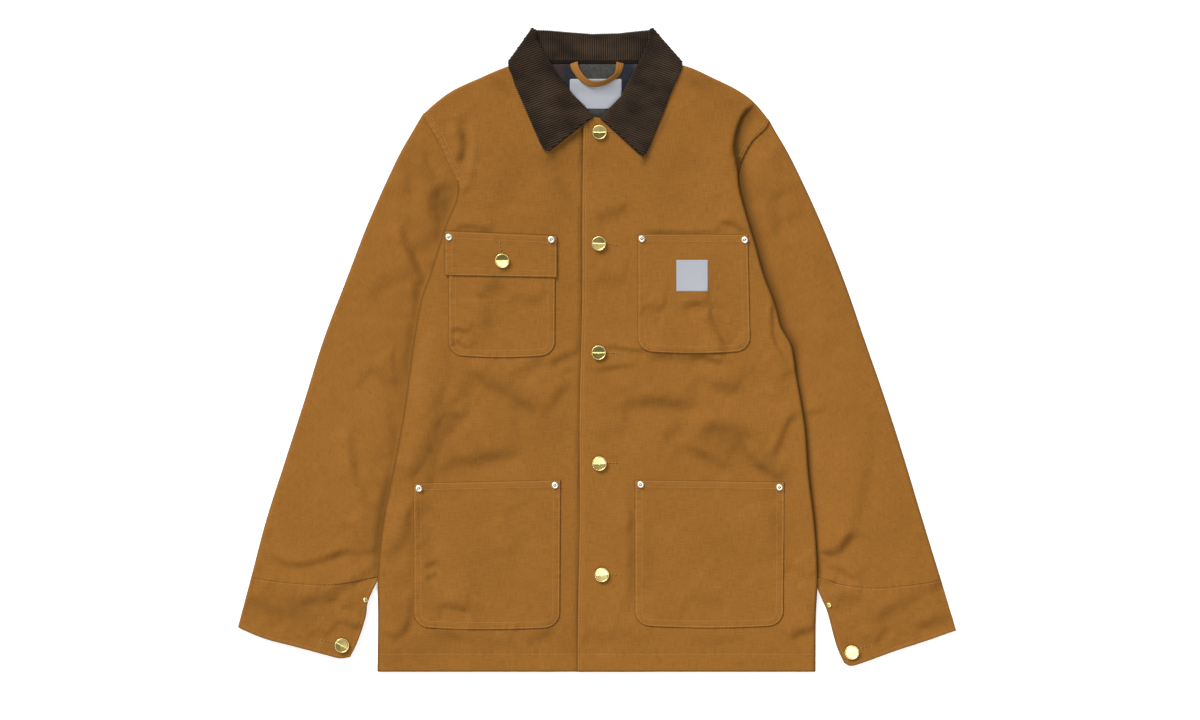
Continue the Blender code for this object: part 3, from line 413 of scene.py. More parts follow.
frontFolds = [
    # the right front
    (4.5, 1.0, [(-182, 152), (-165, 155), (-145, 153), (-126, 149)]),
    (10, 2.0, [(-170, -14), (-150, -32), (-138, -40), (-118, -51), (-105, -62), (-88, -69),
               (-64, -77)]),
    (8, 1.0, [(-74, -77), (-60, -70), (-52, -58), (-40, -48), (-24, -42)]),
    (8, 0.8, [(-116, -32), (-95, -26), (-80, -18), (-62, -5)]),
    (6, 1.0, [(-62, -21), (-50, -12), (-38, -6), (-18, 0)]),
    (4, 0.4, [(-48, -26), (-34, -25), (-18, -24)]),
    (7, 1.2, [(-158, -83), (-176, -83), (-190, -86), (-202, -100)]),
    (12, 1.9, [(-188, -80), (-200, -100), (-207, -120), (-215, -136), (-226, -154), (-240, -169)]),
    (9, 1.5, [(-88, -126), (-120, -130), (-140, -134), (-160, -139), (-182, -143), (-208, -154)]),
    (12, 1.1, [(-180, 28), (-188, -10), (-193, -44), (-202, -76), (-210, -104)]),
    (9, 1.4, [(-232, -188), (-240, -226), (-252, -246), (-268, -272)]),
    (5, 1.0, [(-233, -296), (-234, -330), (-243, -352), (-256, -357), (-272, -345)]),
    (7, 0.7, [(-231, -176), (-232, -230), (-233, -300)]),
    (11, 0.8, [(-66, 232), (-44, 206), (-30, 168)]),
    (6, 1.2, [(-180, 290), (-168, 271), (-170, 248), (-177, 228)]),
    (10, 0.9, [(-110, 352), (-118, 338), (-132, 322)]),
    (7, 0.7, [(-204, -350), (-178, -358), (-150, -368)]),
    (7, 0.7, [(-92, -366), (-72, -358), (-50, -350)]),
    (7, 0.6, [(-130, -362), (-112, -372)]),
    (13, 0.6, [(-100, 230), (-116, 200), (-120, 172)]),
    # the left front
    (4, 0.8, [(48, 148), (80, 147.5), (112, 146.5), (166, 147)]),
    (4.5, 1.2, [(148, 161), (168, 158.5), (180, 152), (194, 143)]),
    (8, 0.6, [(-4, 91), (16, 88), (40, 86)]),
    (3.5, 0.7, [(4, 5), (24, 3), (44, 0.5), (70, -2)]),
    (7, 0.9, [(56, -5), (85, -7), (110, -7), (136, -6)]),
    (4.5, 1.1, [(120, -2), (136, -9), (147, -13.5), (162, -13)]),
    (4, 0.7, [(-6, -24), (12, -22), (28, -20), (54, -21)]),
    (8, 1.3, [(126, -28), (140, -40), (152, -45), (164, -50), (178, -56)]),
    (7, 0.4, [(16, -50), (54, -49)]),
    (9, 1.6, [(22, -68), (52, -65), (75, -63), (98, -66), (134, -69)]),
    (9, 0.8, [(80, -114), (94, -102), (108, -92)]),
    (8, 1.6, [(98, -115), (120, -126), (136, -134), (152, -142), (174, -148)]),
    (10, 1.7, [(122, -101), (150, -97), (172, -99), (190, -105), (206, -122)]),
    (8, 1.9, [(180, -112), (190, -133), (204, -147), (219, -157), (238, -165)]),
    (5, 1.1, [(218, -138), (227, -116), (235, -100), (242, -86), (256, -76)]),
    (9, 0.6, [(200, -14), (213, -28), (223, -44)]),
    (9, 0.6, [(237, -20), (233, -44), (228, -68)]),
    (3, 0.9, [(219, 70), (218.5, 36), (221, 15), (227, 1), (236, -13), (247, -29)]),
    (9, 0.9, [(-6, 162), (16, 171), (46, 180)]),
    (6, 0.9, [(38, -160), (42, -220), (43, -290), (40, -340)]),
    (8, 0.7, [(-14, -350), (4, -358), (22, -364)]),
    (5, 1.1, [(241, -364), (250, -355), (262, -350.5), (275, -347)]),
    (8, 0.6, [(110, -358), (150, -366), (190, -360)]),
    (8, 0.7, [(243, -265), (254, -277), (265, -288)]),
    (10, 0.6, [(96, 250), (128, 232), (150, 206)]),
    (10, 1.0, [(106, 354), (116, 338), (130, 322)]),
    (8, 0.5, [(0, -112), (20, -101), (42, -97)]),
]
shoulderRidge = np.array([(196, 309), (185.5, 301), (179.5, 292.5), (174.8, 281), (171.2, 267),
                          (170, 255), (171.2, 243.5), (173.5, 232), (176.3, 219),
                          (180.5, 204), (184.5, 180)], float)
ridgeLength = lineLengths(shoulderRidge)[-1]
placketEdge = {"top": (-17.5, 286.3), "bottom": (-25.0, -400.0), "wave": 1.2}
rightRidge = (6, 1.9, [(-177, 293), (-159, 278), (-154, 253), (-160, 219), (-167, 203)])
frontRelief = {
    "calm": 0.75, "sideFall": 1.4, "sideSwell": 1.3, "ridgeDrop": 3.2, "underlap": 1.7,
    # where each rise starts and ends: along y, or away from the middle or from a line
    "overSleeve": (-48, -2), "sleeveY": (-352, -300), "overHead": (105, 150), "headY": (40, 70),
    "neckY": (215, 262), "neckX": (122, 165), "hemDepth": 60, "overlapX": (40, 85),
}


# The left front's edge.
def placketX(y):
    (topX, topY), (footX, footY) = placketEdge["top"], placketEdge["bottom"]
    v = (np.asarray(y, float) - footY) / (topY - footY)
    return footX + (topX - footX) * v + placketEdge["wave"] * 3 * np.sin(y / 47.0) * (1 - v) * v


def frontTop(x, y):
    x, y = np.asarray(x, float), np.asarray(y, float)
    relief = frontRelief
    overSleeve = ease(pastInner(x, y), *relief["overSleeve"]) * ease(y, *relief["sleeveY"])
    overHead = ease(np.abs(x), *relief["overHead"]) * ease(y, *relief["headY"])
    overHead = overHead * (1 - 0.5 * ease(y, 240, 285))
    shelf = np.where(y > outline["underarmY"], overHead, overSleeve)
    height = mix(heights["centre"], heights["overSleeve"], shelf)
    nearNeck = ease(y, *relief["neckY"]) * fade(fromNeck(x), *relief["neckX"])
    height = mix(height, heights["neck"], nearNeck)
    hem = fade(y, outline["hemY"], outline["hemY"] + relief["hemDepth"])
    overlap = fade(np.abs(x), *relief["overlapX"])
    height = mix(height, mix(heights["hem"], heights["hemOverlap"], overlap), hem)
    folds = foldHeight(frontFolds, x, y) + uneven("front", x, y)
    height = height + folds * (1 - relief["calm"] * nearNeck) * (1 - relief["calm"] * hem)
    # The right front rises slowly from its side fold.
    edge = x - sideX("right", np.minimum(y, 230))
    height = height - (relief["sideFall"] * np.where(x < 0, fade(edge, 3, 28), 0)
                       * ease(y, -350, -250) * fade(y, 60, 200))
    # The left front swells toward its folds, and drops beyond its shoulder ridge.
    edge = sideX("left", np.minimum(y, 230)) - x
    height = height + (relief["sideSwell"] * np.where(x > 0, fade(edge, 6, 46), 0)
                       * fade(-y, 330, 385) * fade(y, 255, 300))
    beyond, along = nearLine(shoulderRidge, x, y)
    height = height - (relief["ridgeDrop"] * ease(beyond, -0.6, 2.6) * ease(along, -4, 8)
                       * fade(along, ridgeLength - 26, ridgeLength - 2))
    width, rise, points = rightRidge
    return height + rise * bell(nearLine(smoothLine(points, 4), x, y)[0], width)


# Top of what lies under the fronts.
def frontFloor(x, y):
    wall, pressed = heights["bodyWall"], heights["sleevePressed"]
    low = ease(pastInner(x, y), -32, -5) * ease(y, -352, -325)
    high = ease(np.abs(x) - armholeX("right", y), -26, -4) * fade(y, 225, 250)
    lifted = wall + heights["backNeckLift"] * neckLift(x, y)
    return np.where(y < outline["underarmY"], mix(wall, pressed, low),
                    mix(lifted, pressed, high))


def frontSurface(side, x, y):
    height = frontTop(x, y)
    if side == "right":
        height = height - heights["overlapDrop"] * ease(x, -70, -27)
        height = height - frontRelief["underlap"] * ease(x - placketX(y), -5.5, -1.0)
    return np.maximum(height, frontFloor(x, y) + heights["clothGap"] + heights["bodyWall"])


print("cloth surfaces ready")

# Materials. A socket knows its own node tree, so these helpers only ask for sockets.


def addNode(tree, kind, inputs=None, **settings):
    node = tree.nodes.new(kind)
    for key, value in settings.items():
        setattr(node, key, value)
    for key, value in (inputs or {}).items():
        if isinstance(value, bpy.types.NodeSocket):
            tree.links.new(value, node.inputs[key])
        else:
            node.inputs[key].default_value = value
    return node


def calc(operation, a, b=0.0, c=None, clamp=False):
    values = {0: a, 1: b} if c is None else {0: a, 1: b, 2: c}
    return addNode(a.id_data, "ShaderNodeMath", values, operation=operation,
                   use_clamp=clamp).outputs[0]


def times(a, b):
    return calc("MULTIPLY", a, b)


def plus(a, b):
    return calc("ADD", a, b)


def blendColour(factor, a, b):
    return addNode(factor.id_data, "ShaderNodeMix", {0: factor, 6: a, 7: b},
                   data_type="RGBA").outputs[2]


def noiseNode(vector, scale, detail=3.0, stretch=(1, 1, 1)):
    tree = vector.id_data
    mapped = addNode(tree, "ShaderNodeMapping", {"Vector": vector, "Scale": stretch})
    return addNode(tree, "ShaderNodeTexNoise", {
        "Vector": mapped.outputs[0], "Scale": scale, "Detail": detail}).outputs[0]


def splitNode(vector):
    return addNode(vector.id_data, "ShaderNodeSeparateXYZ", {0: vector}).outputs


# Threads going over and under each other, from 0 to 1.
def weaveHeight(vector, pitch):
    parts = splitNode(vector)
    waves = [calc("SINE", times(parts[k], 2 * math.pi / (pitch * mm))) for k in (0, 1)]
    return calc("MULTIPLY_ADD", times(*waves), 0.5, 0.5)


def newMaterial(name, roughness, sheen=0.0, metallic=0.0):
    material = bpy.data.materials.new(name)
    material.use_nodes = True
    shader = material.node_tree.nodes["Principled BSDF"]
    values = {"Roughness": roughness, "Metallic": metallic, "Sheen Weight": sheen,
              "Sheen Roughness": 0.5, "Specular IOR Level": 0.5 if metallic else 0.12}
    for key, value in values.items():
        shader.inputs[key].default_value = value
    return material, shader


def objectPlace(shader):
    return addNode(shader.id_data, "ShaderNodeTexCoord").outputs["Object"]


def attributeNode(shader, name):
    return addNode(shader.id_data, "ShaderNodeAttribute", attribute_name=name).outputs["Fac"]


# Gives a shader its colour and, where there is one, its roughness and its relief.
def paint(shader, colour, rough=None, relief=None, strength=0.0, distance=0.0):
    links = shader.id_data.links
    links.new(colour, shader.inputs["Base Color"])
    if rough is not None:
        links.new(rough, shader.inputs["Roughness"])
    if relief is not None:
        bump = addNode(shader.id_data, "ShaderNodeBump", {
            "Strength": strength, "Distance": distance, "Height": relief})
        links.new(bump.outputs[0], shader.inputs["Normal"])


def darker(colour, share):
    return tuple(c * share for c in colour[:3]) + (1,)


# 'pale' is the colour of rubbed edges and of painted light; 'crease' is the colour of painted
# shade.
canvasLook = {
    "tan": (0.268, 0.112, 0.0190, 1), "pale": (0.400, 0.195, 0.050, 1),
    "deep": (0.160, 0.063, 0.0085, 1), "crease": (0.062, 0.027, 0.0030, 1),
    "threadPitch": 0.9, "roughness": 0.86, "contrast": 1.35, "blotches": 0.5,
    "bump": 0.35, "bumpDepth": 0.00035, "blotchScale": 16, "grainScale": 1100,
    "streakScales": (70, 900),
}


def canvasMaterial(name, look):
    material, shader = newMaterial(name, look["roughness"])
    uv = addNode(shader.id_data, "ShaderNodeUVMap", uv_map="cloth").outputs[0]
    blotch, grain = noiseNode(uv, look["blotchScale"]), noiseNode(uv, look["grainScale"], 2)
    low, high = look["streakScales"]
    weft, warp = (noiseNode(uv, 1, 3, stretch) for stretch in ((low, high, 1), (high, low, 1)))
    wear = attributeNode(shader, "wear")
    streak = calc("MULTIPLY_ADD", plus(weft, plus(warp, grain)), look["contrast"], -1.31)
    colour = blendColour(times(blotch, look["blotches"]), look["tan"], look["deep"])
    colour = blendColour(streak, look["deep"], colour)
    # Above nought the attribute turns the cloth pale, for rubbed edges and painted light; below
    # nought it turns to the crease colour, for painted shade and painted shadows.
    rubbedAndLit = times(calc("MAXIMUM", wear), plus(grain, 0.25))
    colour = blendColour(rubbedAndLit, colour, look["pale"])
    colour = blendColour(calc("MAXIMUM", times(wear, -1.0)), colour, look["crease"])
    relief = plus(times(weaveHeight(uv, look["threadPitch"]), 0.6), streak)
    rough = calc("MULTIPLY_ADD", grain, 0.14, look["roughness"] - 0.07)
    paint(shader, colour, rough, relief, look["bump"], look["bumpDepth"])
    return material


def threadMaterial(name, colour):
    material, shader = newMaterial(name, 0.75, 0.1)
    fuzz = noiseNode(objectPlace(shader), 260, 2)
    paint(shader, blendColour(fuzz, darker(colour, 0.72), colour))
    return material


corduroyLook = {"dark": (0.0055, 0.0032, 0.0018, 1), "mid": (0.0140, 0.0083, 0.0047, 1),
                "pale": (0.056, 0.0345, 0.0195, 1), "roughness": 0.9, "sheen": 0.04,
                "brushScale": 26, "pileScale": 900}


def corduroyMaterial(name, look, low, high):
    material, shader = newMaterial(name, look["roughness"], look["sheen"])
    place = objectPlace(shader)
    brush = noiseNode(place, look["brushScale"], 5, (1, 1.6, 1))
    brushed = calc("MULTIPLY_ADD", brush, 2.6, -0.82, True)
    pile = noiseNode(place, look["pileScale"], 2)
    factor = times(brushed, plus(pile, 0.35))
    paint(shader, blendColour(factor, look[low], look[high]), None, pile, 0.5, 0.0003)
    return material


liningLook = {
    # (x in millimetres where a stripe starts, its colour)
    "stripes": [(-70, (0.030, 0.017, 0.020)), (-42, (0.010, 0.013, 0.020)),
                (-24, (0.050, 0.048, 0.043)), (27, (0.010, 0.013, 0.021)),
                (46, (0.045, 0.047, 0.041))],
    "band": (0.018, 0.016, 0.018, 1), "heather": (0.022, 0.021, 0.019, 1),
    "fadeWidth": 2.5, "left": -70.0, "right": 70.0, "bandY": 293.0, "roughness": 0.95,
    "fuzzScale": 330,
}


def liningMaterial(name, look):
    material, shader = newMaterial(name, look["roughness"], 0.1)
    place = objectPlace(shader)
    parts = splitNode(place)
    left, wide = look["left"], look["right"] - look["left"]
    fuzz = noiseNode(place, look["fuzzScale"], 4)
    wobble = calc("MULTIPLY_ADD", fuzz, 0.02, -0.01)
    across = calc("MULTIPLY_ADD", parts[0], 1000 / wide, -left / wide)
    ramp = addNode(shader.id_data, "ShaderNodeValToRGB", {0: plus(across, wobble)})
    soft = look["fadeWidth"] / wide
    stops = []
    for k, (x, colour) in enumerate(look["stripes"]):
        at = (x - left) / wide
        if k:
            stops.append((at - soft, look["stripes"][k - 1][1]))
        stops.append((at + (soft if k else 0), colour))
    elements = ramp.color_ramp.elements
    while len(elements) < len(stops):
        elements.new(0.5)
    for element, (at, colour) in zip(elements, stops):
        element.position = at
        element.color = (*colour, 1)
    away = calc("ABSOLUTE", calc("SUBTRACT", parts[1], look["bandY"] * mm))
    band = times(calc("LESS_THAN", away, 0.004), 0.6)
    colour = blendColour(band, ramp.outputs[0], look["band"])
    heather = times(calc("MULTIPLY_ADD", fuzz, 3.0, -1.15, True), 0.75)
    paint(shader, blendColour(heather, colour, look["heather"]), None, fuzz, 0.8, 0.0008)
    return material


def labelMaterial(name, colour, pitch):
    material, shader = newMaterial(name, 0.6, 0.05)
    place = objectPlace(shader)
    weave = weaveHeight(place, pitch)
    mixed = times(plus(weave, noiseNode(place, 500, 2)), 0.5)
    paint(shader, blendColour(mixed, darker(colour, 0.86), colour), None, weave, 0.3, 0.0002)
    return material


brassLook = {"bright": (0.90, 0.76, 0.34, 1), "dull": (0.56, 0.43, 0.13, 1),
             "dark": (0.065, 0.052, 0.009, 1), "roughness": 0.42}
rivetLook = {"bright": (1.00, 0.95, 0.80, 1), "dull": (0.88, 0.80, 0.56, 1),
             "dark": (0.060, 0.050, 0.025, 1), "roughness": 0.44}


def brassMaterial(name, look):
    material, shader = newMaterial(name, look["roughness"], 0.0, 1.0)
    place = objectPlace(shader)
    patina, scratch = noiseNode(place, 240, 4), noiseNode(place, 1, 3, (2500, 240, 240))
    colour = blendColour(calc("POWER", patina, 2.0), look["bright"], look["dull"])
    # Tarnish and a painted dark reflection sit in the two sunk halves of a face, more or less of
    # them on each button; on a rivet, tarnish and painted shade sit in its dark ring.
    part, upper, lower = (attributeNode(shader, label) for label in ("part", "upper", "lower"))
    tarnishAndPaintedDark = plus(times(calc("MAXIMUM", part), upper),
                   times(calc("MAXIMUM", times(part, -1.0)), lower))
    rough = calc("MULTIPLY_ADD", scratch, 0.16, look["roughness"] - 0.08)
    paint(shader, blendColour(tarnishAndPaintedDark, colour, look["dark"]), rough)
    return material


materials = {
    "canvas": canvasMaterial("canvas", canvasLook),
    "thread": threadMaterial("stitchThread", (0.44, 0.215, 0.060, 1)),
    "tanThread": threadMaterial("tanThread", (0.41, 0.195, 0.050, 1)),
    "darkThread": threadMaterial("darkThread", (0.022, 0.014, 0.010, 1)),
    "labelThread": threadMaterial("labelThread", (0.60, 0.62, 0.66, 1)),
    "slit": threadMaterial("slitShade", (0.090, 0.038, 0.008, 1)),
    # Ribs and ground are lit and shaded copies of one corduroy: painted light on the ribs, painted
    # shade in the grooves between them.
    "ribs": corduroyMaterial("corduroyRibsLit", corduroyLook, "mid", "pale"),
    "corduroy": corduroyMaterial("corduroyGroundShaded", corduroyLook, "dark", "mid"),
    "lining": liningMaterial("plaidLining", liningLook),
    "label": labelMaterial("labelCloth", (0.335, 0.347, 0.380, 1), 0.7),
    "tape": labelMaterial("loopTape", (0.262, 0.110, 0.0180, 1), 1.1),
    "brass": brassMaterial("brass", brassLook),
    "rivets": brassMaterial("rivetBrass", rivetLook),
}
print("materials ready")

# Objects, made from points in millimetres.


def placeObject(name, data, place=(0, 0, 0), turn=(0, 0, 0)):
    made = bpy.data.objects.new(name, data)
    bpy.context.scene.collection.objects.link(made)
    made.location = place
    made.rotation_euler = turn
    return made


def meshObject(name, points, edges=(), faces=()):
    mesh = bpy.data.meshes.new(name)
    mesh.from_pydata((np.asarray(points, float) * mm).tolist(), edges, faces)
    return placeObject(name, mesh)


def addAttribute(made, name, values, kind="FLOAT", field="value"):
    layer = made.data.attributes.new(name, kind, "POINT")
    layer.data.foreach_set(field, np.asarray(values, np.float32).ravel())


def gridObject(name, points, material, wall, closed=False, flip=False, cloth=None, wear=None):
    rows, width = points.shape[:2]
    i, j = np.meshgrid(np.arange(rows - 1), np.arange(width if closed else width - 1),
                       indexing="ij")
    a, b = i * width + j, i * width + (j + 1) % width
    faces = np.stack([a, b, b + width, a + width], -1).reshape(-1, 4)
    if flip:
        faces = faces[:, ::-1]
    made = meshObject(name, points.reshape(-1, 3), faces=faces.tolist())
    cloth = points[:, :, :2] if cloth is None else cloth
    layer = made.data.uv_layers.new(name="cloth")
    layer.data.foreach_set("uv", (cloth.reshape(-1, 2)[faces.reshape(-1)] * mm).ravel())
    if wear is not None:
        addAttribute(made, "wear", wear)
    made.data.shade_smooth()
    made.data.materials.append(material)
    solid = made.modifiers.new("wall", "SOLIDIFY")
    solid.thickness = wall * mm
    solid.offset = -1.0
    solid.use_even_offset = False
    return made


def finishPiece(piece, nodes=()):
    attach(piece, "root")
    if nodes:
        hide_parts(*nodes)
    return piece


# A walled piece of cloth, whose slot has the name of its material.
def clothPiece(name, slot, node, points, wall, sheet, **more):
    piece = finishPiece(gridObject(name, points, materials[slot], wall, **more), [node])


# A mesh of loose edges, one chain for each line, for a node tree to dress.
def linesObject(name, lines):
    points, edges = [], []
    for line in lines:
        start = len(points)
        points += np.asarray(line, float).tolist()
        edges += [(start + k, start + k + 1) for k in range(len(line) - 1)]
    return meshObject(name, points, edges)


def newTree(name, sockets):
    tree = bpy.data.node_groups.new(name, "GeometryNodeTree")
    rows = [("Geometry", "INPUT", "Geometry")]
    rows += [(label, "INPUT", kind) for label, kind in sockets.items()]
    for label, way, kind in rows + [("Geometry", "OUTPUT", "Geometry")]:
        tree.interface.new_socket(name=label, in_out=way, socket_type="NodeSocket" + kind)
    return tree, tree.nodes.new("NodeGroupInput").outputs


def endTree(tree, given, geometry):
    smooth = addNode(tree, "GeometryNodeSetShadeSmooth", {"Geometry": geometry})
    real = addNode(tree, "GeometryNodeRealizeInstances", {"Geometry": smooth.outputs[0]})
    painted = addNode(tree, "GeometryNodeSetMaterial", {
        "Geometry": real.outputs[0], "Material": given["Material"]})
    addNode(tree, "NodeGroupOutput", {0: painted.outputs[0]})
    return tree


# Beads along every line, one for each stitch, of slightly different lengths.
def stitchTree():
    tree, given = newTree("stitchRow", {
        "Spacing": "Float", "Stitch Length": "Float", "Thread Radius": "Float", "Seed": "Int",
        "Material": "Material"})
    curve = addNode(tree, "GeometryNodeMeshToCurve", {"Mesh": given["Geometry"]})
    spaced = addNode(tree, "GeometryNodeResampleCurve", {
        "Curve": curve.outputs[0], "Length": given["Spacing"]}, mode="LENGTH")
    tangent = addNode(tree, "GeometryNodeInputTangent")
    aligned = addNode(tree, "FunctionNodeAlignRotationToVector", {
        "Vector": tangent.outputs[0]}, axis="X")
    vary = addNode(tree, "FunctionNodeRandomValue", {
        "Min": 0.85, "Max": 1.1, "Seed": given["Seed"]}, data_type="FLOAT").outputs["Value"]
    half = times(times(given["Stitch Length"], 0.5), vary)
    thread = given["Thread Radius"]
    size = addNode(tree, "ShaderNodeCombineXYZ", {0: half, 1: thread, 2: thread})
    bead = addNode(tree, "GeometryNodeMeshUVSphere", {"Segments": 6, "Rings": 4})
    placed = addNode(tree, "GeometryNodeInstanceOnPoints", {
        "Points": spaced.outputs[0], "Instance": bead.outputs[0],
        "Rotation": aligned.outputs[0], "Scale": size.outputs[0]})
    return endTree(tree, given, placed.outputs[0])


# A tube along every line.
def tubeTree():
    tree, given = newTree("tubeRows", {"Radius": "Float", "Sides": "Int", "Material": "Material"})
    curve = addNode(tree, "GeometryNodeMeshToCurve", {"Mesh": given["Geometry"]})
    ring = addNode(tree, "GeometryNodeCurvePrimitiveCircle", {
        "Radius": given["Radius"], "Resolution": given["Sides"]})
    tube = addNode(tree, "GeometryNodeCurveToMesh", {
        "Curve": curve.outputs[0], "Profile Curve": ring.outputs[0], "Fill Caps": True})
    return endTree(tree, given, tube.outputs[0])


# A template on every point, leaning and turned by the point's own attribute.
def setOnPointsTree():
    tree, given = newTree("setOnPoints", {
        "Template": "Object", "Size": "Float", "Material": "Material"})
    shape = addNode(tree, "GeometryNodeObjectInfo", {"Object": given["Template"]})
    lean = addNode(tree, "GeometryNodeInputNamedAttribute", {"Name": "lean"},
                   data_type="FLOAT_VECTOR")
    turn = [socket for socket in lean.outputs if socket.enabled and socket.name == "Attribute"]
    placed = addNode(tree, "GeometryNodeInstanceOnPoints", {
        "Points": given["Geometry"], "Instance": shape.outputs["Geometry"],
        "Rotation": turn[0], "Scale": given["Size"]})
    return endTree(tree, given, placed.outputs[0])


trees = {"stitch": stitchTree(), "tube": tubeTree(), "set": setOnPointsTree()}


# Runs a node tree on an object and keeps its result as a plain mesh.
def dress(base, tree, values):
    modifier = base.modifiers.new(tree.name, "NODES")
    modifier.node_group = tree
    for item in tree.interface.items_tree:
        if item.in_out == "INPUT" and item.name in values:
            modifier[item.identifier] = values[item.name]
    graph = bpy.context.evaluated_depsgraph_get()
    mesh = bpy.data.meshes.new_from_object(base.evaluated_get(graph))
    base.modifiers.remove(modifier)
    base.data = mesh
    if not mesh.materials:
        mesh.materials.append(values["Material"])
    return base


stitching = {"spacing": 3.1, "length": 2.4, "radius": 0.4, "seed": 7, "shortestRow": 4}


def sewn(name, lines, material="thread", size=1.0):
    shortest = stitching["shortestRow"]
    rows = [line for line in lines if lineLengths(np.asarray(line))[-1] > shortest]
    spacing, length, radius = (stitching[key] * size * mm
                               for key in ("spacing", "length", "radius"))
    finishPiece(dress(linesObject(name, rows), trees["stitch"], {
        "Spacing": spacing, "Stitch Length": length, "Thread Radius": radius,
        "Seed": stitching["seed"], "Material": materials[material]}))


def tubes(name, lines, material, radius, count):
    finishPiece(dress(linesObject(name, lines), trees["tube"], {
        "Radius": radius * mm, "Sides": count, "Material": materials[material]}))


# A flat line laid on a surface, as points in space.
def onSurface(line, surface, lift=0.1, step=3.0):
    even = evenLine(np.asarray(line, float), step)
    return np.c_[even, surface(even[:, 0], even[:, 1]) + lift]


def unit(v):
    return v / np.linalg.norm(v, axis=-1, keepdims=True)


# A flat line moved to its left by a distance.
def shifted(line, distance):
    line = np.asarray(line, float)
    ahead = unit(np.gradient(line, axis=0))
    return line + distance * np.stack([-ahead[:, 1], ahead[:, 0]], -1)


print("helpers ready")

# Fronts: two panels, the left one on top. Distances are millimetres from an edge.
frontPanel = {
    "edge": {"right": ((19, -401), (17, 287)), "left": ((-25, -400), (-17.5, 286.3))},
    "corner": {"right": [(4, 287.5), (-5, 288)],
               "left": [(-9.5, 289.4), (-2.5, 291.6), (4.5, 290.4)]},
    "neck": {"right": [(-12.3, 289.9), (-30.4, 291), (-52.5, 300.7), (-68.6, 314.3),
                       (-75.6, 323.9), (-79.1, 333), (-80.6, 342.1), (-79.6, 350.2),
                       (-80.2, 357.5)],
             "left": [(13.3, 289), (29.4, 290), (48.5, 300.7), (62.6, 314.3), (69.6, 323.9),
                      (72.6, 333), (73.6, 342.1), (72.6, 350.2), (72.2, 357.5)]},
    "rowLag": 90.0, "wall": 1.3, "step": 3.0,
    "sideRound": {"right": 7.5, "left": 4.0}, "edgeRound": 1.3, "edgeDrop": 1.2,
    "edgeSteps": [0, 0.25, 0.7, 1.4, 2.4, 3.6, 4.5, 5.6, 7.5, 10],
    "sideSteps": [0, 0.3, 0.9, 1.8, 3.0, 4.4, 6.0, 8.5, 11],
    "placketStitch": 4.6, "hemStitch": 24.0, "stitchGroove": 0.5,
    "seamStitches": {"right": [1.9, 4.6, 8.4], "left": [1.9, 5.4]},
    # the armhole seam: the height of its edge, where its rim ends and where its rows start
    "seamHeight": {"right": 7.2, "left": 6.6}, "seamEnds": {"right": 212, "left": 237},
    "seamFrom": {"right": 205, "left": 232}, "stitchesFrom": {"right": 214, "left": 240},
    "hemStitches": {"right": (-272, -27), "left": (-20, 270)},
}
hemStitchY = outline["hemY"] + frontPanel["hemStitch"] - 2
hemLine = np.array([(-280, hemStitchY), (280, hemStitchY)], float)


# For each row: its end on the front edge, its outer end, and what its outer rim is.
def frontRows(side):
    panel = frontPanel
    low, high = (np.array(p, float) for p in panel["edge"][side])
    shoulder = evenLine(smoothLine(outline["shoulder"][side][::-1], 6), 2.6)
    lastY = shoulder[-1][1] - panel["rowLag"] - 8
    starts = np.linspace(high[1], lastY, len(shoulder))
    sideY = np.r_[276:205:-1.6, 204:-384:-3.0, -385:-402:-2.0, -402]
    frontY = sideY - panel["rowLag"] * ease(sideY, -60, 276)
    body = np.c_[sideX(side, sideY), sideY]
    bridge = evenLine(np.array([shoulder[-1], body[0]]), 1.7)[1:-1]
    outer = np.vstack([shoulder, bridge, body])
    between = np.linspace(starts[-1], frontY[0], len(bridge) + 2)[1:-1]
    frontY = np.r_[starts, between, frontY]
    rim = np.where(outer[:, 1] >= panel["seamEnds"][side], "seam", "fold")
    rim = np.where(np.arange(len(outer)) < len(shoulder), "shoulder", rim)
    return frontY, outer, rim[:, None], low, high


def frontGrid(side):
    panel = frontPanel
    frontY, outer, rim, low, high = frontRows(side)
    neck = np.array([panel["edge"][side][1]] + panel["corner"][side] + panel["neck"][side]
                    + [outline["shoulder"][side][-1]], float)
    edgeSteps, sideSteps = np.array(panel["edgeSteps"]), np.array(panel["sideSteps"])
    middle = int(295 / panel["step"])
    rows, fromEdge, fromSide = [], [], []
    for y, end in zip(frontY, outer):
        start = mix(low, high, (y - low[1]) / (high[1] - low[1]))
        if side == "left":
            start[0] = placketX(start[1])
        across = np.linalg.norm(end - start)
        first, last = edgeSteps / across, 1 - sideSteps[::-1] / across
        shares = np.r_[first, np.linspace(first[-1], last[0], middle)[1:-1], last]
        bow = bowOf(neck, shares) * ease(y, 60, high[1])
        rows.append(start + (end - start) * shares[:, None] + bow)
        fromEdge.append(shares * across)
        fromSide.append((1 - shares) * across)
    return np.array(rows), np.array(fromEdge), np.array(fromSide), rim


# The front's surface with its stitched lines pressed in.
def frontSkin(side, x, y, fromEdge=60.0):
    panel = frontPanel
    z = frontSurface(side, x, y)
    seam = armholeSeams[side]
    d = awayFrom(seam, x, y)
    shownFrom = panel["seamFrom"][side]
    near = ease(y, shownFrom, shownFrom + 14) * fade(d, 3, 22)
    z = mix(z, panel["seamHeight"][side] + 1.1 * roundRise(d, 1.6), near)
    ridge = 0.35 * ease(d, 1, 2.4) * fade(d, 7, 10) * near
    lines = grooves(d, panel["seamStitches"][side], 0.35) * near
    z = z + ridge + lines + puckers("armhole", seam, x, y) * near
    hem = nearLine(hemLine, x, y)[0]
    z = z + groove(hem, 0.55, 1.6) + puckers("hem", hemLine, x, y)
    if side == "left":
        stitch = fromEdge - panel["placketStitch"]
        z = z + groove(stitch, panel["stitchGroove"], 1.0)
        z = z + 0.35 * bell(stitch, 5) * softNoise(x * 0, y, 9, 21)
    return z
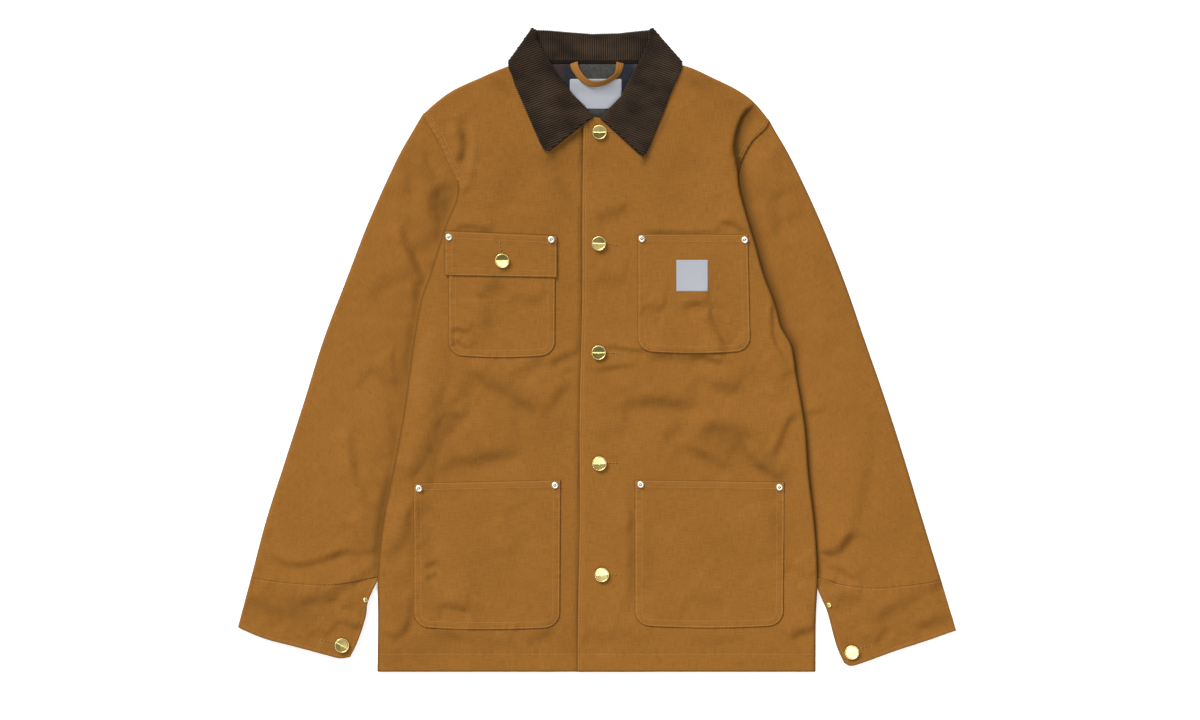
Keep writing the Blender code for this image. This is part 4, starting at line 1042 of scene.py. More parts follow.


# Painted shade on the front: dark lines along its edges, side folds, hem and placket crack, and a
# painted shadow beyond the shoulder ridge; a paler band inside each edge; and slow painted shade
# and light over it.
def frontShadeAndWear(side, x, y, fromEdge, fromSide, rim):
    wear = 0.35 * bell(fromEdge - 1.6, 1.0) - 0.9 * bell(fromEdge, 0.7)
    wear = wear - 0.6 * np.where(rim == "fold", bell(fromSide, 2.2), 0)
    wear = wear - 0.7 * bell(y - outline["hemY"], 1.6)
    if side == "right":
        wear = wear - 0.6 * bell(x - placketX(y) + 0.6, 1.3)
    else:
        beyond, along = nearLine(shoulderRidge, x, y)
        shaded = ease(along, -4, 14) * fade(along, ridgeLength - 30, ridgeLength - 4)
        wear = wear - 0.85 * bell(beyond - 2.6, 2.6 + 2.2 * ease(along, 10, 60)) * shaded
        wear = wear - 0.4 * ease(beyond, 0, 3) * fade(beyond, 8, 20) * shaded
    return wear + paintedShading("front", x, y)


def buildFront(side):
    panel = frontPanel
    flat, fromEdge, fromSide, rim = frontGrid(side)
    x, y = flat[:, :, 0], flat[:, :, 1]
    z = frontSkin(side, x, y, fromEdge)
    under = mix(heights["sleevePressed"], heights["bodyWall"], ease(-y, 306, 352))
    under = under + heights["clothGap"] + heights["gap"]
    folded = mix(under, z, roundRise(fromSide, panel["sideRound"][side]))
    near = fade(fromNeck(x), 118, 150)
    low = heights["backNeckLift"] * near
    middle = (low + mix(heights["centre"], heights["neck"], near)) / 2 + 0.5
    onShoulder = mix(middle, z, roundRise(fromSide, 4.0))
    z = np.where(rim == "fold", folded, np.where(rim == "shoulder", onShoulder, z))
    z = z - panel["edgeDrop"] * roundDrop(fromEdge, panel["edgeRound"])
    clothPiece("front_" + side + "_cloth", "canvas", "front_panel_" + side,
               np.dstack([x, y, z]), panel["wall"],
               {"flat": (0.305, 0.765), "area": 0.200, "held": "laid",
                "rests_on": ["back_cloth", "sleeve_" + side + "_cloth"]},
               flip=side == "left", wear=frontShadeAndWear(side, x, y, fromEdge, fromSide, rim))


for side in sides:
    buildFront(side)
print("fronts built")

# Back: one plain panel on the floor, its neck raised over the collar's fall.
backPanel = {"neckY": 357.6, "wall": 1.8, "step": 9.0, "columns": 33, "neckRows": 12,
             "sheet": {"flat": (0.550, 0.765), "area": 0.330, "held": "laid",
                       "rests_on": ["floor"]}}


def buildBack():
    panel = backPanel
    ys = np.r_[outline["hemY"]:276:panel["step"], 276]
    shares = np.linspace(0, 1, panel["columns"])
    halves, tops = [], []
    for side in sides:
        shoulder = smoothLine(outline["shoulder"][side][::-1], 4)
        top = np.vstack([[(0, panel["neckY"]), frontPanel["neck"][side][-1]], shoulder])
        tops.append(alongLine(top, shares))
        cuffX, cuffY = outline["cuffCorner"][side]
        sleeve = np.interp(ys, [cuffY, outline["underarmY"]],
                           [abs(cuffX), outline["underarmX"]]) - 0.6
        fold = np.abs(sideX(side, ys)) - heights["gap"]
        under = np.where(ys > -300, np.minimum(fold, sleeve), fold)
        edge = np.where(ys >= outline["underarmY"], armholeX(side, ys) - 0.3, under)
        xs = (outward[side] * edge)[:, None] * shares
        halves.append(np.dstack([xs, np.repeat(ys[:, None], len(shares), 1)]))
    body = np.concatenate([halves[0][:, ::-1], halves[1][:, 1:]], axis=1)
    ends = np.vstack([tops[0][::-1], tops[1][1:]])
    rise = np.linspace(0, 1, panel["neckRows"])[1:, None, None]
    flat = np.concatenate([body, mix(body[-1], ends, rise)])
    x, y = flat[:, :, 0], flat[:, :, 1]
    z = heights["backNeckLift"] * neckLift(x, y)
    clothPiece("back_cloth", "canvas", "back_panel", np.dstack([x, y, z]), panel["wall"],
               panel["sheet"], flip=True, wear=np.zeros(x.shape))


buildBack()
print("back built")

# Sleeves: flat tubes set in at the armhole.
sleeveShape = {
    "wall": 1.8, "length": 590.0, "rowStep": 3.4, "columns": 52, "round": 4.4, "tuck": 3.5,
    "middle": 3.0, "rowSteps": [0, 0.8, 1.8, 3.2],
    "columnSteps": [0, 0.25, 0.8, 1.7, 2.9, 4.4, 7.0],
    "flat": {"right": (0.345, 0.585), "left": (0.345, 0.580)}, "area": 0.170,
    # how far the painted shadow beside the left body edge reaches: (y, reach)
    "reach": [(-280, 2.2), (-240, 2.6), (-160, 4.5), (-40, 5), (10, 8), (80, 9.5), (212, 10),
              (238, 3.5), (276, 1.6)],
}
cuffSeam = {
    "right": [(-433, -284), (-405, -288), (-377, -291), (-336, -293), (-305, -289),
              (-286, -285), (-272, -283)],
    "left": [(430.5, -287), (410, -291), (376, -295), (349, -297), (308, -293),
             (288, -287), (270, -283)],
}


# Painted shade on a sleeve: a dark line along its outer edge, a painted shadow beside the body's
# side, and slow painted shade and light.
def sleevePaintedShading(side, outer, x, y):
    wear = -0.4 * bell(awayFrom(outer, x, y), 1.5)
    outside = pastSide(side, x, y)
    if side == "left":
        reach = np.interp(y, *np.array(sleeveShape["reach"]).T)
        wear = wear - 0.8 * bell(np.maximum(outside, 0), reach)
    else:
        wear = wear - 0.3 * bell(outside - 3, 5.5) * ease(-y, 138, 170)
    return wear + paintedShading("sleeve", x, y)


def buildSleeve(side):
    shape, out = sleeveShape, outward[side]
    foot = smoothLine(cuffSeam[side])
    startX, startY = outline["shoulder"][side][0]
    outer = smoothLine([(startX + out * 0.3, startY - 0.3)] + sideRows("sleeveOuter", side)
                       + [foot[0]])
    inner = np.array([(out * outline["underarmX"], outline["underarmY"]),
                      outline["cuffCorner"][side]], float)
    head = smoothLine([(startX - out, startY - 0.3)]
                      + [(x - out * shape["tuck"], y) for x, y in sideRows("armhole", side)])
    rings, cloth = [], []
    for s in clusteredShares(int(shape["length"] / shape["rowStep"]), shape["length"],
                             shape["rowSteps"]):
        a, b = alongLine(outer, s), mix(inner[0], inner[1], s)
        length = np.linalg.norm(b - a)
        t = clusteredShares(shape["columns"], length, shape["columnSteps"])
        flat = a + t[:, None] * (b - a) + bowOf(head, t) * (1 - s) ** 3 + bowOf(foot, t) * s ** 4
        rise = roundRise(np.minimum(t, 1 - t) * length, shape["round"])
        top = mix(shape["middle"], sleeveTop(side, flat[:, 0], flat[:, 1]), rise)
        low = shape["middle"] - shape["middle"] * rise
        below = np.r_[len(t) - 2:len(t) - 8:-1, len(t) - 12:11:-6, 6:0:-1]
        rings.append(np.vstack([np.c_[flat, top], np.c_[flat[below], low[below]]]))
        run = np.r_[t, 2 - t[below]] * length
        cloth.append(np.c_[run, np.full(len(run), s * shape["length"])])
    points = np.array(rings)
    x, y, z = points[:, :, 0], points[:, :, 1], points[:, :, 2]
    top = z > shape["middle"] + 0.05
    z = z + ease(-y, 262, 290) * top * puckers("cuffSeam", foot, x, y)
    points[:, :, 2] = np.maximum(z, 0.0)
    clothPiece("sleeve_" + side + "_cloth", "canvas", "sleeve_" + side, points, shape["wall"],
               {"flat": shape["flat"][side], "area": shape["area"], "held": "laid",
                "rests_on": ["floor"]}, closed=True, flip=side == "right",
               cloth=np.array(cloth), wear=sleevePaintedShading(side, outer, x, y) * top)


for side in sides:
    buildSleeve(side)
print("sleeves built")

# Cuffs: bands of doubled canvas, open at the inner edge.
cuffShape = {
    "wall": 1.7, "round": 3.8, "edgeRound": 1.6, "middle": 3.8, "length": 95.0,
    "columns": 56, "rows": 40, "rowSteps": [0, 0.5, 1.2, 1.8, 2.6, 3.4, 4.6],
    "columnSteps": [0, 0.3, 0.9, 1.7, 2.9, 4.0, 5.4],
    "seamStitch": 1.8, "freeStitch": 4.0, "innerStitch": 4.0,
    "sheet": {"flat": (0.340, 0.095), "area": 0.0295, "held": "laid", "rests_on": ["floor"]},
    "free": {
        "right": [(-449.5, -346.5), (-430, -355), (-411, -362), (-377.5, -370.6),
                  (-340, -380.6), (-322, -385), (-309, -383.5)],
        "left": [(449.5, -350.5), (433, -356), (416, -362), (377, -374.5), (334, -390),
                 (318, -394.5), (309, -391)]},
    "inner": {
        "right": [(-272, -283), (-280.5, -300), (-287, -316), (-289, -332), (-295, -352),
                  (-302, -370), (-309, -383.5)],
        "left": [(270, -283), (282, -313), (288, -327), (299, -368), (309, -391)]},
}
# The seam, the free edge and the inner edge of each cuff.
cuffLines = {side: [smoothLine(lines[side])
                    for lines in (cuffSeam, cuffShape["free"], cuffShape["inner"])]
             for side in sides}


def cuffSurface(side, x, y):
    seam, free, _ = cuffLines[side]
    fromSeam, fromFree, fromInner = (awayFrom(line, x, y) for line in cuffLines[side])
    pressed = heights["cuffPress"] * fade(-y, 283, 306) * fade(fromInner, 20, 60)
    height = heights["cuff"] - pressed + sleeveCloth(side, x, y)
    height = height + puckers("cuffSeam", seam, x, y) + puckers("cuffEdge", free, x, y)
    height = height + groove(fromSeam - cuffShape["seamStitch"], 0.18, 1.0)
    height = height + groove(fromFree - cuffShape["freeStitch"], 0.25, 1.1)
    return height + groove(fromInner - cuffShape["innerStitch"], 0.25, 1.1)


def buildCuff(side):
    shape, out = cuffShape, outward[side]
    seam, free, inner = cuffLines[side]
    middle, deep = shape["middle"], shape["length"]
    rows, cloth = [], []
    for s in clusteredShares(shape["rows"], deep, shape["rowSteps"]):
        a, b = mix(seam[0], free[0], s), alongLine(inner, s)
        length = np.linalg.norm(b - a)
        t = clusteredShares(shape["columns"], length, shape["columnSteps"])
        flat = a + t[:, None] * (b - a) + bowOf(seam, t) * (1 - s) + bowOf(free, t) * s
        fromOuter = t * length
        rise = roundRise(fromOuter, shape["round"])
        z = mix(middle, cuffSurface(side, flat[:, 0], flat[:, 1]), rise)
        z = z - 0.15 * roundDrop(s * deep, 1.2)
        z = z - roundDrop(np.minimum((1 - s) * deep, (1 - t) * length), shape["edgeRound"])
        below = np.r_[1:7, 11:len(t):6, len(t) - 1]
        low = (middle - middle * rise)[below]
        under = flat[below] + np.c_[out * 4.0 * ease(t[below], 0.9, 1.0), np.zeros(len(below))]
        rows.append(np.vstack([np.c_[flat[::-1], z[::-1]], np.c_[under, low]]))
        run = np.r_[-fromOuter[::-1], fromOuter[below]]
        cloth.append(np.c_[np.full(len(run), -s * deep), run])
    points = np.array(rows)
    x, y, z = points[:, :, 0], points[:, :, 1], points[:, :, 2]
    # Painted shade: dark lines along the cuff's free and inner edges, and slow painted shade and
    # light.
    wear = -0.45 * bell(awayFrom(free, x, y), 0.9) - 0.5 * bell(awayFrom(inner, x, y), 0.9)
    wear = wear + paintedShading("sleeve", x, y)
    clothPiece("cuff_" + side + "_cloth", "canvas", "cuff_" + side, points, shape["wall"],
               shape["sheet"], flip=side == "left", cloth=np.array(cloth), wear=wear * (z > 4))
    surface = partial(cuffSurface, side)
    sewn("cuff_seam_stitches_" + side,
         [onSurface(shifted(seam, out * shape["seamStitch"])[2:-2], surface)])
    sewn("cuff_edge_stitches_" + side,
         [onSurface(shifted(free, -out * shape["freeStitch"])[3:-3], surface),
          onSurface(shifted(inner, out * shape["innerStitch"])[3:-3], surface)],
         material="tanThread")


for side in sides:
    buildCuff(side)
print("cuffs built")

# Pockets, flap and labels, laid on the fronts.
# skirt: how far a pocket's grid reaches past its sewn edge, as a strip painted dark for the shadow
# in the crease
pocketShape = {"wall": 1.0, "lift": 1.6, "step": 1.7, "edgeRound": 1.2, "shadowSkirt": 0.6,
               "bow": 3.4, "edgeStitches": [1.7, 8.8], "topStitches": [2.0, 9.0],
               "steps": [0, 0.5, 0.75, 1.1, 1.6, 2.3]}
pockets = {
    # left, top left, right, top right, bottom, slant, corner round
    "chest_pocket_right": (-185.5, 148, -52.0, 143, -9.0, 0.5, 17),
    "chest_pocket_left": (51.0, 145, 188.5, 144.5, -4.0, -3.0, 17),
    "hip_pocket_right": (-229.0, -166, -45.5, -162, -349.0, 1.0, 18),
    "hip_pocket_left": (47.5, -162, 234.0, -164.5, -347.0, 1.0, 18),
}
pocketFolds = [
    (9, 0.8, [(-118, 90), (-136, 74), (-156, 62)]), (9, 0.7, [(-134, 66), (-136, 46), (-142, 24)]),
    (8, 0.6, [(-114, 66), (-90, 64), (-60, 66)]), (4, 0.7, [(-186, 24), (-172, 27), (-158, 21)]),
    (4, 0.5, [(-180, 14), (-168, 7), (-158, 0)]),
    (7, 0.7, [(60, 61), (72, 54), (86, 51)]), (7, 1.0, [(104, 52), (124, 59), (142, 57)]),
    (6, 1.2, [(137, 62), (142, 40), (148, 27), (155, 17), (161, 7), (170, -3)]),
    (12, 1.1, [(-223, -178), (-218, -215), (-213, -258)]),
    (7, 0.9, [(-198, -314), (-178, -320), (-156, -322)]),
    (4, 0.6, [(-218, -271), (-206, -266), (-198, -262)]),
    (4, 0.5, [(-216, -286), (-206, -281), (-200, -277)]),
    (12, 1.2, [(202, -182), (216, -204), (224, -226), (233, -260)]),
    (9, 0.6, [(-120, -200), (-104, -226), (-96, -256)]),
    (10, 0.7, [(63, -196), (66, -250), (62, -310)]),
    (10, 0.6, [(110, -300), (140, -312), (168, -310)]),
]


# A pocket's foot hangs a little lower at its middle.
def bowed(pocket, x, y):
    across = 2 * (x - pocket[0]) / (pocket[2] - pocket[0]) - 1
    down = np.clip((pocket[1] - y) / (pocket[1] - pocket[4]), 0, 1.1)
    return y + pocketShape["bow"] * across ** 2 * down ** 2


# The sewn edge: down the left side, round the bottom and up the right side.
def pocketOutline(pocket, inset=0.0, step=1.5):
    left, topLeft, right, topRight, bottom, slant, turn = pocket
    turn = max(turn - inset, 1.0)
    left, right, bottom = left + inset, right - inset, bottom + inset
    foot = right - slant
    corner = [(math.cos(a), math.sin(a)) for a in np.linspace(math.pi, 1.5 * math.pi, 9)]
    points = [(left, topLeft)]
    points += [(left + turn + turn * c, bottom + turn + turn * s) for c, s in corner]
    points += [(foot - turn - turn * c, bottom + turn + turn * s) for c, s in corner[::-1]]
    points.append((right, topRight))
    line = evenLine(np.array(points, float), step)
    return np.c_[line[:, 0], bowed(pocket, line[:, 0], line[:, 1])]


def pocketSurface(name, x, y):
    pocket = pockets[name]
    z = frontSurface(name.rsplit("_", 1)[1], x, y) + foldHeight(pocketFolds, x, y)
    z = z + pocketShape["lift"] + uneven("pocket", x, y)
    edge = pocketOutline(pocket)
    fromEdge = awayFrom(edge, x, y)
    top = pocket[1] + (pocket[3] - pocket[1]) * (x - pocket[0]) / (pocket[2] - pocket[0])
    fromTop = np.abs(top - y)
    z = z + 0.2 * fade(fromEdge, 8.6, 11) + 0.6 * fade(fromTop, 9, 11.5)
    z = z + grooves(fromEdge, pocketShape["edgeStitches"], 0.28)
    z = z + grooves(fromTop, pocketShape["topStitches"], 0.25)
    return z + puckers("pocket", edge, x, y)


# Builds a pocket and gives back its stitch rows: the bright ones and the inner one.
def buildPocket(name):
    shape, side, shadowSkirt = pocketShape, name.rsplit("_", 1)[1], pocketShape["shadowSkirt"]
    grown = np.array(pockets[name]) + shadowSkirt * np.array([-1, 1, 1, 1, -1, 0, 1])
    left, topLeft, right, topRight, bottom, slant, turn = grown
    wide, high = right - left, topLeft - bottom
    across, down = (clusteredShares(int(size / shape["step"]), size, shape["steps"])
                    for size in (wide, high))
    v, u = np.meshgrid(down[::-1], across, indexing="ij")
    rise = np.clip((v * high - (high - turn)) / turn, 0, 1)
    inset = np.minimum(turn * (1 - np.sqrt(np.clip(1 - rise * rise, 0, 1))), turn * 0.93)
    x = left + inset + (right - slant * v - left - 2 * inset) * u
    top = mix(topLeft, topRight, u)
    y = mix(top, bottom, v)
    fromTop = np.abs(top - y)
    y = bowed(grown, x, y)
    fromEdge = np.minimum(awayFrom(pocketOutline(grown), x, y), fromTop) - shadowSkirt
    low = frontSurface(side, x, y) + 0.2
    z = mix(low, pocketSurface(name, x, y),
            roundRise(np.maximum(fromEdge, 0), shape["edgeRound"]))
    # The skirt, a low strip past the sewn edge, is painted dark, a painted shadow in the crease
    # round the pocket. A paler band lies just inside the edge.
    wear = 0.15 * bell(fromEdge - 1.7, 0.8) - 0.4 * fade(fromEdge, -0.1, 0.7)
    clothPiece(name + "_cloth", "canvas", name, np.dstack([x, y, z]), shape["wall"],
               {"flat": (wide * mm + 0.02, high * mm + 0.03),
                "area": (wide * mm + 0.012) * (high * mm + 0.02), "held": "laid",
                "rests_on": ["front_" + side + "_cloth"]},
               wear=wear + paintedShading("front", x, y))
    surface = partial(pocketSurface, name)
    edge, inner = (onSurface(pocketOutline(pockets[name], s)[2:-2], surface)
                   for s in shape["edgeStitches"])
    tops = [onSurface([(left + 2, topLeft - s), (right - 2, topRight - s)], surface)
            for s in shape["topStitches"]]
    return [edge, *tops], inner


pocketLines = [buildPocket(name) for name in pockets]
sewn("pocket_stitches", [line for bright, inner in pocketLines for line in bright])
sewn("pocket_inner_stitches", [inner for bright, inner in pocketLines], material="tanThread")
print("pockets built")

flapShape = {"left": -190.0, "right": -50.0, "topLeft": 149.5, "topRight": 143.5,
             "bottomLeft": 93.5, "bottomRight": 91.0, "wall": 1.2, "lift": 3.2, "step": 1.7,
             "steps": [0, 0.35, 0.7, 1.2, 1.9],
             "sheet": {"flat": (0.160, 0.075), "area": 0.0105, "held": "laid",
                       "rests_on": ["chest_pocket_right_cloth"]}}


# The flap's lower and upper edge at a share of its width.
def flapEnds(u):
    shape = flapShape
    return (mix(shape["bottomLeft"], shape["bottomRight"], u),
            mix(shape["topLeft"], shape["topRight"], u))


# Distances from the flap's top, from its foot and from its nearer side.
def flapEdges(x, y):
    left, right = flapShape["left"], flapShape["right"]
    low, top = flapEnds((x - left) / (right - left))
    return top - y, y - low, np.minimum(x - left, right - x)


def flapSkin(x, y):
    shape = flapShape
    z = pocketSurface("chest_pocket_right", np.clip(x, -184, -54), np.minimum(y, 140.0))
    z = z + shape["lift"] - pocketShape["lift"] + 0.5 * bell(y - 96, 9)
    z = z + uneven("flap", x, y)
    fromTop, fromLow, fromSide = flapEdges(x, y)
    z = z + grooves(np.minimum(fromLow, fromSide), pocketShape["edgeStitches"], 0.2)
    z = z + grooves(fromTop, pocketShape["topStitches"], 0.25)
    foot = np.array([(end, shape["bottomLeft"]) for end in (shape["left"], shape["right"])])
    return z + puckers("flap", foot, x, y)


def buildFlap():
    shape = flapShape
    left, right = shape["left"], shape["right"]
    wide, tall = right - left, shape["topLeft"] - shape["bottomLeft"]
    u, v = (clusteredShares(int(size / shape["step"]), size, shape["steps"])
            for size in (wide, tall))
    v, u = np.meshgrid(v, u, indexing="ij")
    x = left + wide * u + np.sin(v * math.pi) * (u - 0.5)
    y = mix(*flapEnds(u), v)
    edge = np.minimum.reduce(flapEdges(x, y))
    z = flapSkin(x, y) - 1.2 * roundDrop(np.maximum(edge, 0), 1.4)
    # Painted shade: a dark line round the flap's edge, with a paler band just inside it.
    wear = 0.15 * bell(edge - 1.7, 0.8) - 0.45 * fade(edge, 0.2, 0.9)
    clothPiece("chest_flap_cloth", "canvas", "chest_pocket_flap", np.dstack([x, y, z]),
               shape["wall"], shape["sheet"], wear=wear)
    edge, inner = (onSurface([(left + s, shape["topLeft"] - 2),
                              (left + s, shape["bottomLeft"] + s),
                              (right - s, shape["bottomRight"] + s),
                              (right - s, shape["topRight"] - 2)], flapSkin)
                   for s in pocketShape["edgeStitches"])
    tops = [onSurface([(left + 2, shape["topLeft"] - s), (right - 2, shape["topRight"] - s)],
                      flapSkin) for s in pocketShape["topStitches"]]
    sewn("flap_stitches", [edge, *tops])
    sewn("flap_inner_stitches", [inner], material="tanThread")


buildFlap()
print("flap built")

chestLabel = {"left": 99.2, "right": 139.6, "bottom": 73.5, "top": 114.2, "lift": 0.9,
              "wall": 0.6, "step": 1.2, "stitch": 1.5,
              "sheet": {"flat": (0.050, 0.050), "area": 0.0019, "held": "laid",
                        "rests_on": ["chest_pocket_left_cloth"]}}


# A label's grid, and each point's distance from its nearest edge.
def labelGrid(xs, ys):
    y, x = np.meshgrid(ys, xs, indexing="ij")
    fromEdge = np.minimum.reduce([x - xs[0], xs[-1] - x, y - ys[0], ys[-1] - y])
    return x, y, fromEdge


def buildChestLabel():
    shape = chestLabel
    xs = np.arange(shape["left"], shape["right"] + 0.1, shape["step"])
    ys = np.arange(shape["bottom"], shape["top"] + 0.1, shape["step"])
    x, y, fromEdge = labelGrid(xs, ys)

    def surface(x, y):
        return pocketSurface("chest_pocket_left", x, y) + shape["lift"]

    z = surface(x, y) - 0.5 * roundDrop(fromEdge, 1.5) + groove(fromEdge - 1.8, 0.2, 0.9)
    clothPiece("chest_label_cloth", "label", "chest_label", np.dstack([x, y, z]),
               shape["wall"], shape["sheet"])
    inset = shape["stitch"]
    left, right, low, high = xs[0] + inset, xs[-1] - inset, ys[0] + inset, ys[-1] - inset
    path = [(left, low), (right, low), (right, high), (left, high), (left, low)]
    sewn("label_stitches", [onSurface(path, surface)], "labelThread", 0.7)


buildChestLabel()
print("chest label built")


# Stitches on the fronts: placket edge, hem and armholes.
def frontStitches(side):
    panel = frontPanel
    lines = []
    if side == "left":
        ys = np.linspace(outline["hemY"] + 4, 283, 230)
        xs = placketX(ys) + panel["placketStitch"]
        lines.append(np.c_[xs, ys, frontSkin(side, xs, ys, panel["placketStitch"]) + 0.1])
    surface = partial(frontSkin, side)
    lines.append(onSurface([(x, hemStitchY) for x in panel["hemStitches"][side]], surface))
    seam = armholeSeams[side]
    seam = seam[seam[:, 1] > panel["stitchesFrom"][side]]
    for s in panel["seamStitches"][side]:
        lines.append(onSurface(shifted(seam, outward[side] * -s), surface, 0.1, 2.5))
    return lines


sewn("front_stitches", [line for side in sides for line in frontStitches(side)])
print("front stitches sewn")

# Collar: a strip with its neck seam, its roll and its fall. Stations are
# (turn, neck, roll, fall); turn is -90 where the fall faces the floor, +90 where it faces up.
collarShape = {
    "half": 2.9, "turnInner": 0.7, "wall": 1.7, "stepAlong": 1.3,
    "waleSpacing": 2.75, "waleRadius": 1.2, "waleSides": 8, "waleSink": 1.2, "leafTilt": 20.0,
    "tipRound": 7.5, "ribsFrom": 2, "edgeRoll": 1.5, "rollWidth": 2.4, "underShows": 1.5,
    "droop": 0.5, "puff": 0.5, "underWall": 0.9,
    # which way each side's fall hangs
    "lateral": ((-40.7, 27.9, 0.0), (40.7, 34.0, 0.0)),
    "sheet": {"flat": (0.470, 0.105), "area": 0.0470, "held": "folded",
              "rests_on": ["back_cloth", "front_right_cloth", "front_left_cloth"]},
    "underSheet": {"flat": (0.470, 0.055), "area": 0.0225, "held": "folded",
                   "rests_on": ["collar_ground"]},
    "standShares": (1.0, 0.93, 0.87, 0.75, 0.6, 0.45, 0.3, 0.16, 0.05),
    "stations": [
        (90, (-10, 287.6), (-7.0, 289.6), (-63.0, 245.8)),
        (90, (-30, 291.5), (-17.4, 303.6), (-70.4, 259.4)),
        (90, (-52, 301), (-32.5, 318.6), (-79, 279)),
        (90, (-68, 314.5), (-47.3, 337.8), (-88.5, 301)),
        (90, (-75, 324), (-56.2, 350.3), (-95, 316)),
        (90, (-78.5, 333), (-63, 364), (-102, 332)),
        (90, (-80, 342), (-71, 375.5), (-106, 345)),
        (90, (-79, 350), (-76.5, 386), (-110, 353)),
        (90, (-76, 358), (-77.9, 398.5), (-110.6, 359.6)),
        (45, (-76, 358), (-77.9, 398.5), (-107.5, 358.5)),
        (0, (-76, 358), (-77.9, 398.5), (-105.8, 357.8)),
        (-45, (-76, 358), (-77.9, 398.5), (-105.8, 357.8)),
        (-90, (-76, 358), (-77.9, 398.5), (-105.8, 357.8)),
        (-90, (-58, 358.4), (-62, 398.0), (-78, 349)),
        (-90, (-35, 358.4), (-37, 395.8), (-42, 345)),
        (-90, (-6, 358.4), (-6, 393.5), (-6, 344)),
        (-90, (24, 358.4), (26, 394.3), (31, 345)),
        (-90, (48, 358.4), (51, 397), (66, 349)),
        (-90, (68, 358), (66.5, 398.5), (100.5, 357.8)),
        (-45, (68, 358), (66.5, 398.5), (100.5, 357.8)),
        (0, (68, 358), (66.5, 398.5), (101.5, 357.8)),
        (45, (68, 358), (66.5, 398.5), (103, 358.2)),
        (90, (68, 358), (66.5, 398.5), (105.8, 358.6)),
        (90, (72, 350), (66, 385), (106, 353)),
        (90, (73, 342), (60.5, 372.5), (101.5, 343)),
        (90, (72, 333), (55.2, 360.5), (95.5, 330)),
        (90, (69, 324), (47.4, 345.9), (88.5, 313)),
        (90, (62, 314.5), (40, 332.2), (83, 297.6)),
        (90, (48, 301), (31.8, 315.6), (75, 278)),
        (90, (29, 290.5), (16.4, 300), (66, 256)),
        (90, (11, 285.5), (6.4, 287.4), (58.4, 240.0)),
    ],
}
fallShares = np.r_[np.linspace(0.04, 0.94, 26), 0.955, 0.97, 0.982, 0.991, 0.996, 1.0]


# Stations spaced closely, as rows of the turn and of x and y at the neck, roll and fall.
def fineStations():
    keys = np.array([(turn, *neck, *roll, *fall)
                     for turn, neck, roll, fall in collarShape["stations"]], float)
    rows = []
    for a, b in zip(keys, keys[1:]):
        reach = max(np.linalg.norm(b[3:5] - a[3:5]), np.linalg.norm(b[5:7] - a[5:7]),
                    abs(b[0] - a[0]) * 0.07)
        count = max(int(reach / collarShape["stepAlong"]), 1)
        rows += [a + (b - a) * k / count for k in range(count)]
    rows = np.array(rows + [keys[-1]])
    near = np.array([0, 0.3, 0.65])[:, None]
    rows = np.vstack([mix(rows[0], rows[1], near), rows[1:-1],
                      mix(rows[-1], rows[-2], near[::-1])])
    # The tips of the fall are rounded.
    radius = collarShape["tipRound"]
    run = lineLengths(rows[:, 5:7])
    left = radius - np.minimum(np.minimum(run, run[-1] - run), radius)
    pull = radius - np.sqrt(radius ** 2 - left ** 2)
    rows[:, 5:7] += unit(rows[:, 3:5] - rows[:, 5:7]) * pull[:, None]
    return rows


# Points of every section. A section that lies inside another has the fall alone.
def collarSections(rows, half, inside, shares, edgeRoll):
    shape = collarShape
    turn = np.radians(rows[:, 0])
    neck, fold, fall = (np.c_[rows[:, k:k + 2], np.zeros(len(rows))] for k in (1, 3, 5))
    rightSide = (np.arange(len(rows)) < len(rows) / 2)[:, None]
    lateral = np.where(rightSide, *(unit(np.array(line)) for line in shape["lateral"]))
    up = np.array([0, 0, 1.0])
    facing = np.clip(np.sin(turn), 0, 1)
    normal = lateral * np.cos(turn)[:, None] + up * np.sin(turn)[:, None]
    radius = shape["half"] + shape["turnInner"]
    centre = fold + lateral * radius * np.cos(turn)[:, None]
    centre[:, 2] = 2 * shape["half"] + shape["turnInner"] + radius * np.sin(turn)
    stand, drop = neck - fold, fall - fold
    down = -unit(unit(stand) + unit(drop))
    line = []
    if inside == 0:
        for s in shape["standShares"]:
            at = centre + stand * s - normal * half
            wave = uneven("stand", at[:, 0] * 2, at[:, 1] * 1.4) * (1 - facing)
            line.append(at + up * wave[:, None] * math.sin(math.pi * s))
        for a in np.radians(np.arange(-90, 91, 15)):
            line.append(centre + normal * half * math.sin(a) + down * half * math.cos(a))
    falls = []
    for s in shares:
        at = centre + drop * s + normal * (half - inside)
        puff = shape["puff"] * math.sin(math.pi * min(s, 1.0)) - shape["droop"] * s ** 6
        puff = puff + uneven("fall", at[:, 0] * 1.6, at[:, 1] * 1.6) * min(s * 3, 1)
        falls.append(at + up * (puff * facing)[:, None])
    falls = np.stack(falls, 1)
    steps = np.diff(falls[:, :, :2], axis=0, prepend=falls[:1, :, :2])
    along = np.cumsum(np.linalg.norm(steps, axis=2), axis=0)
    toEdge = (1 - np.array(shares)) * np.linalg.norm(drop, axis=1)[:, None]
    edge = np.minimum(np.minimum(along, along[-1] - along), np.maximum(toEdge, 0))
    falls[:, :, 2] -= edgeRoll * roundDrop(edge, shape["rollWidth"]) * facing[:, None]
    return np.concatenate([np.stack(line, 1), falls], 1) if line else falls


# Makes each column of a field rise or fall steadily.
def monotone(field):
    slope = np.arange(len(field))[:, None] * 1e-6
    if field[-1].mean() < field[0].mean():
        return np.minimum.accumulate(field, axis=0) - slope
    return np.maximum.accumulate(field, axis=0) + slope


# Ribs: lines on a grid where a field has each of a row of values.
def ribLines(grid, field, first, last, columns):
    field = monotone(field)
    lines = []
    for value in np.arange(first, last, collarShape["waleSpacing"]):
        line = []
        for j in columns:
            order = slice(None) if field[-1, j] > field[0, j] else slice(None, None, -1)
            f, p = field[order, j], grid[order, j]
            if f[0] <= value <= f[-1]:
                line.append([np.interp(value, f, p[:, k]) for k in range(3)])
        if len(line) > 2:
            lines.append(line)
    return lines


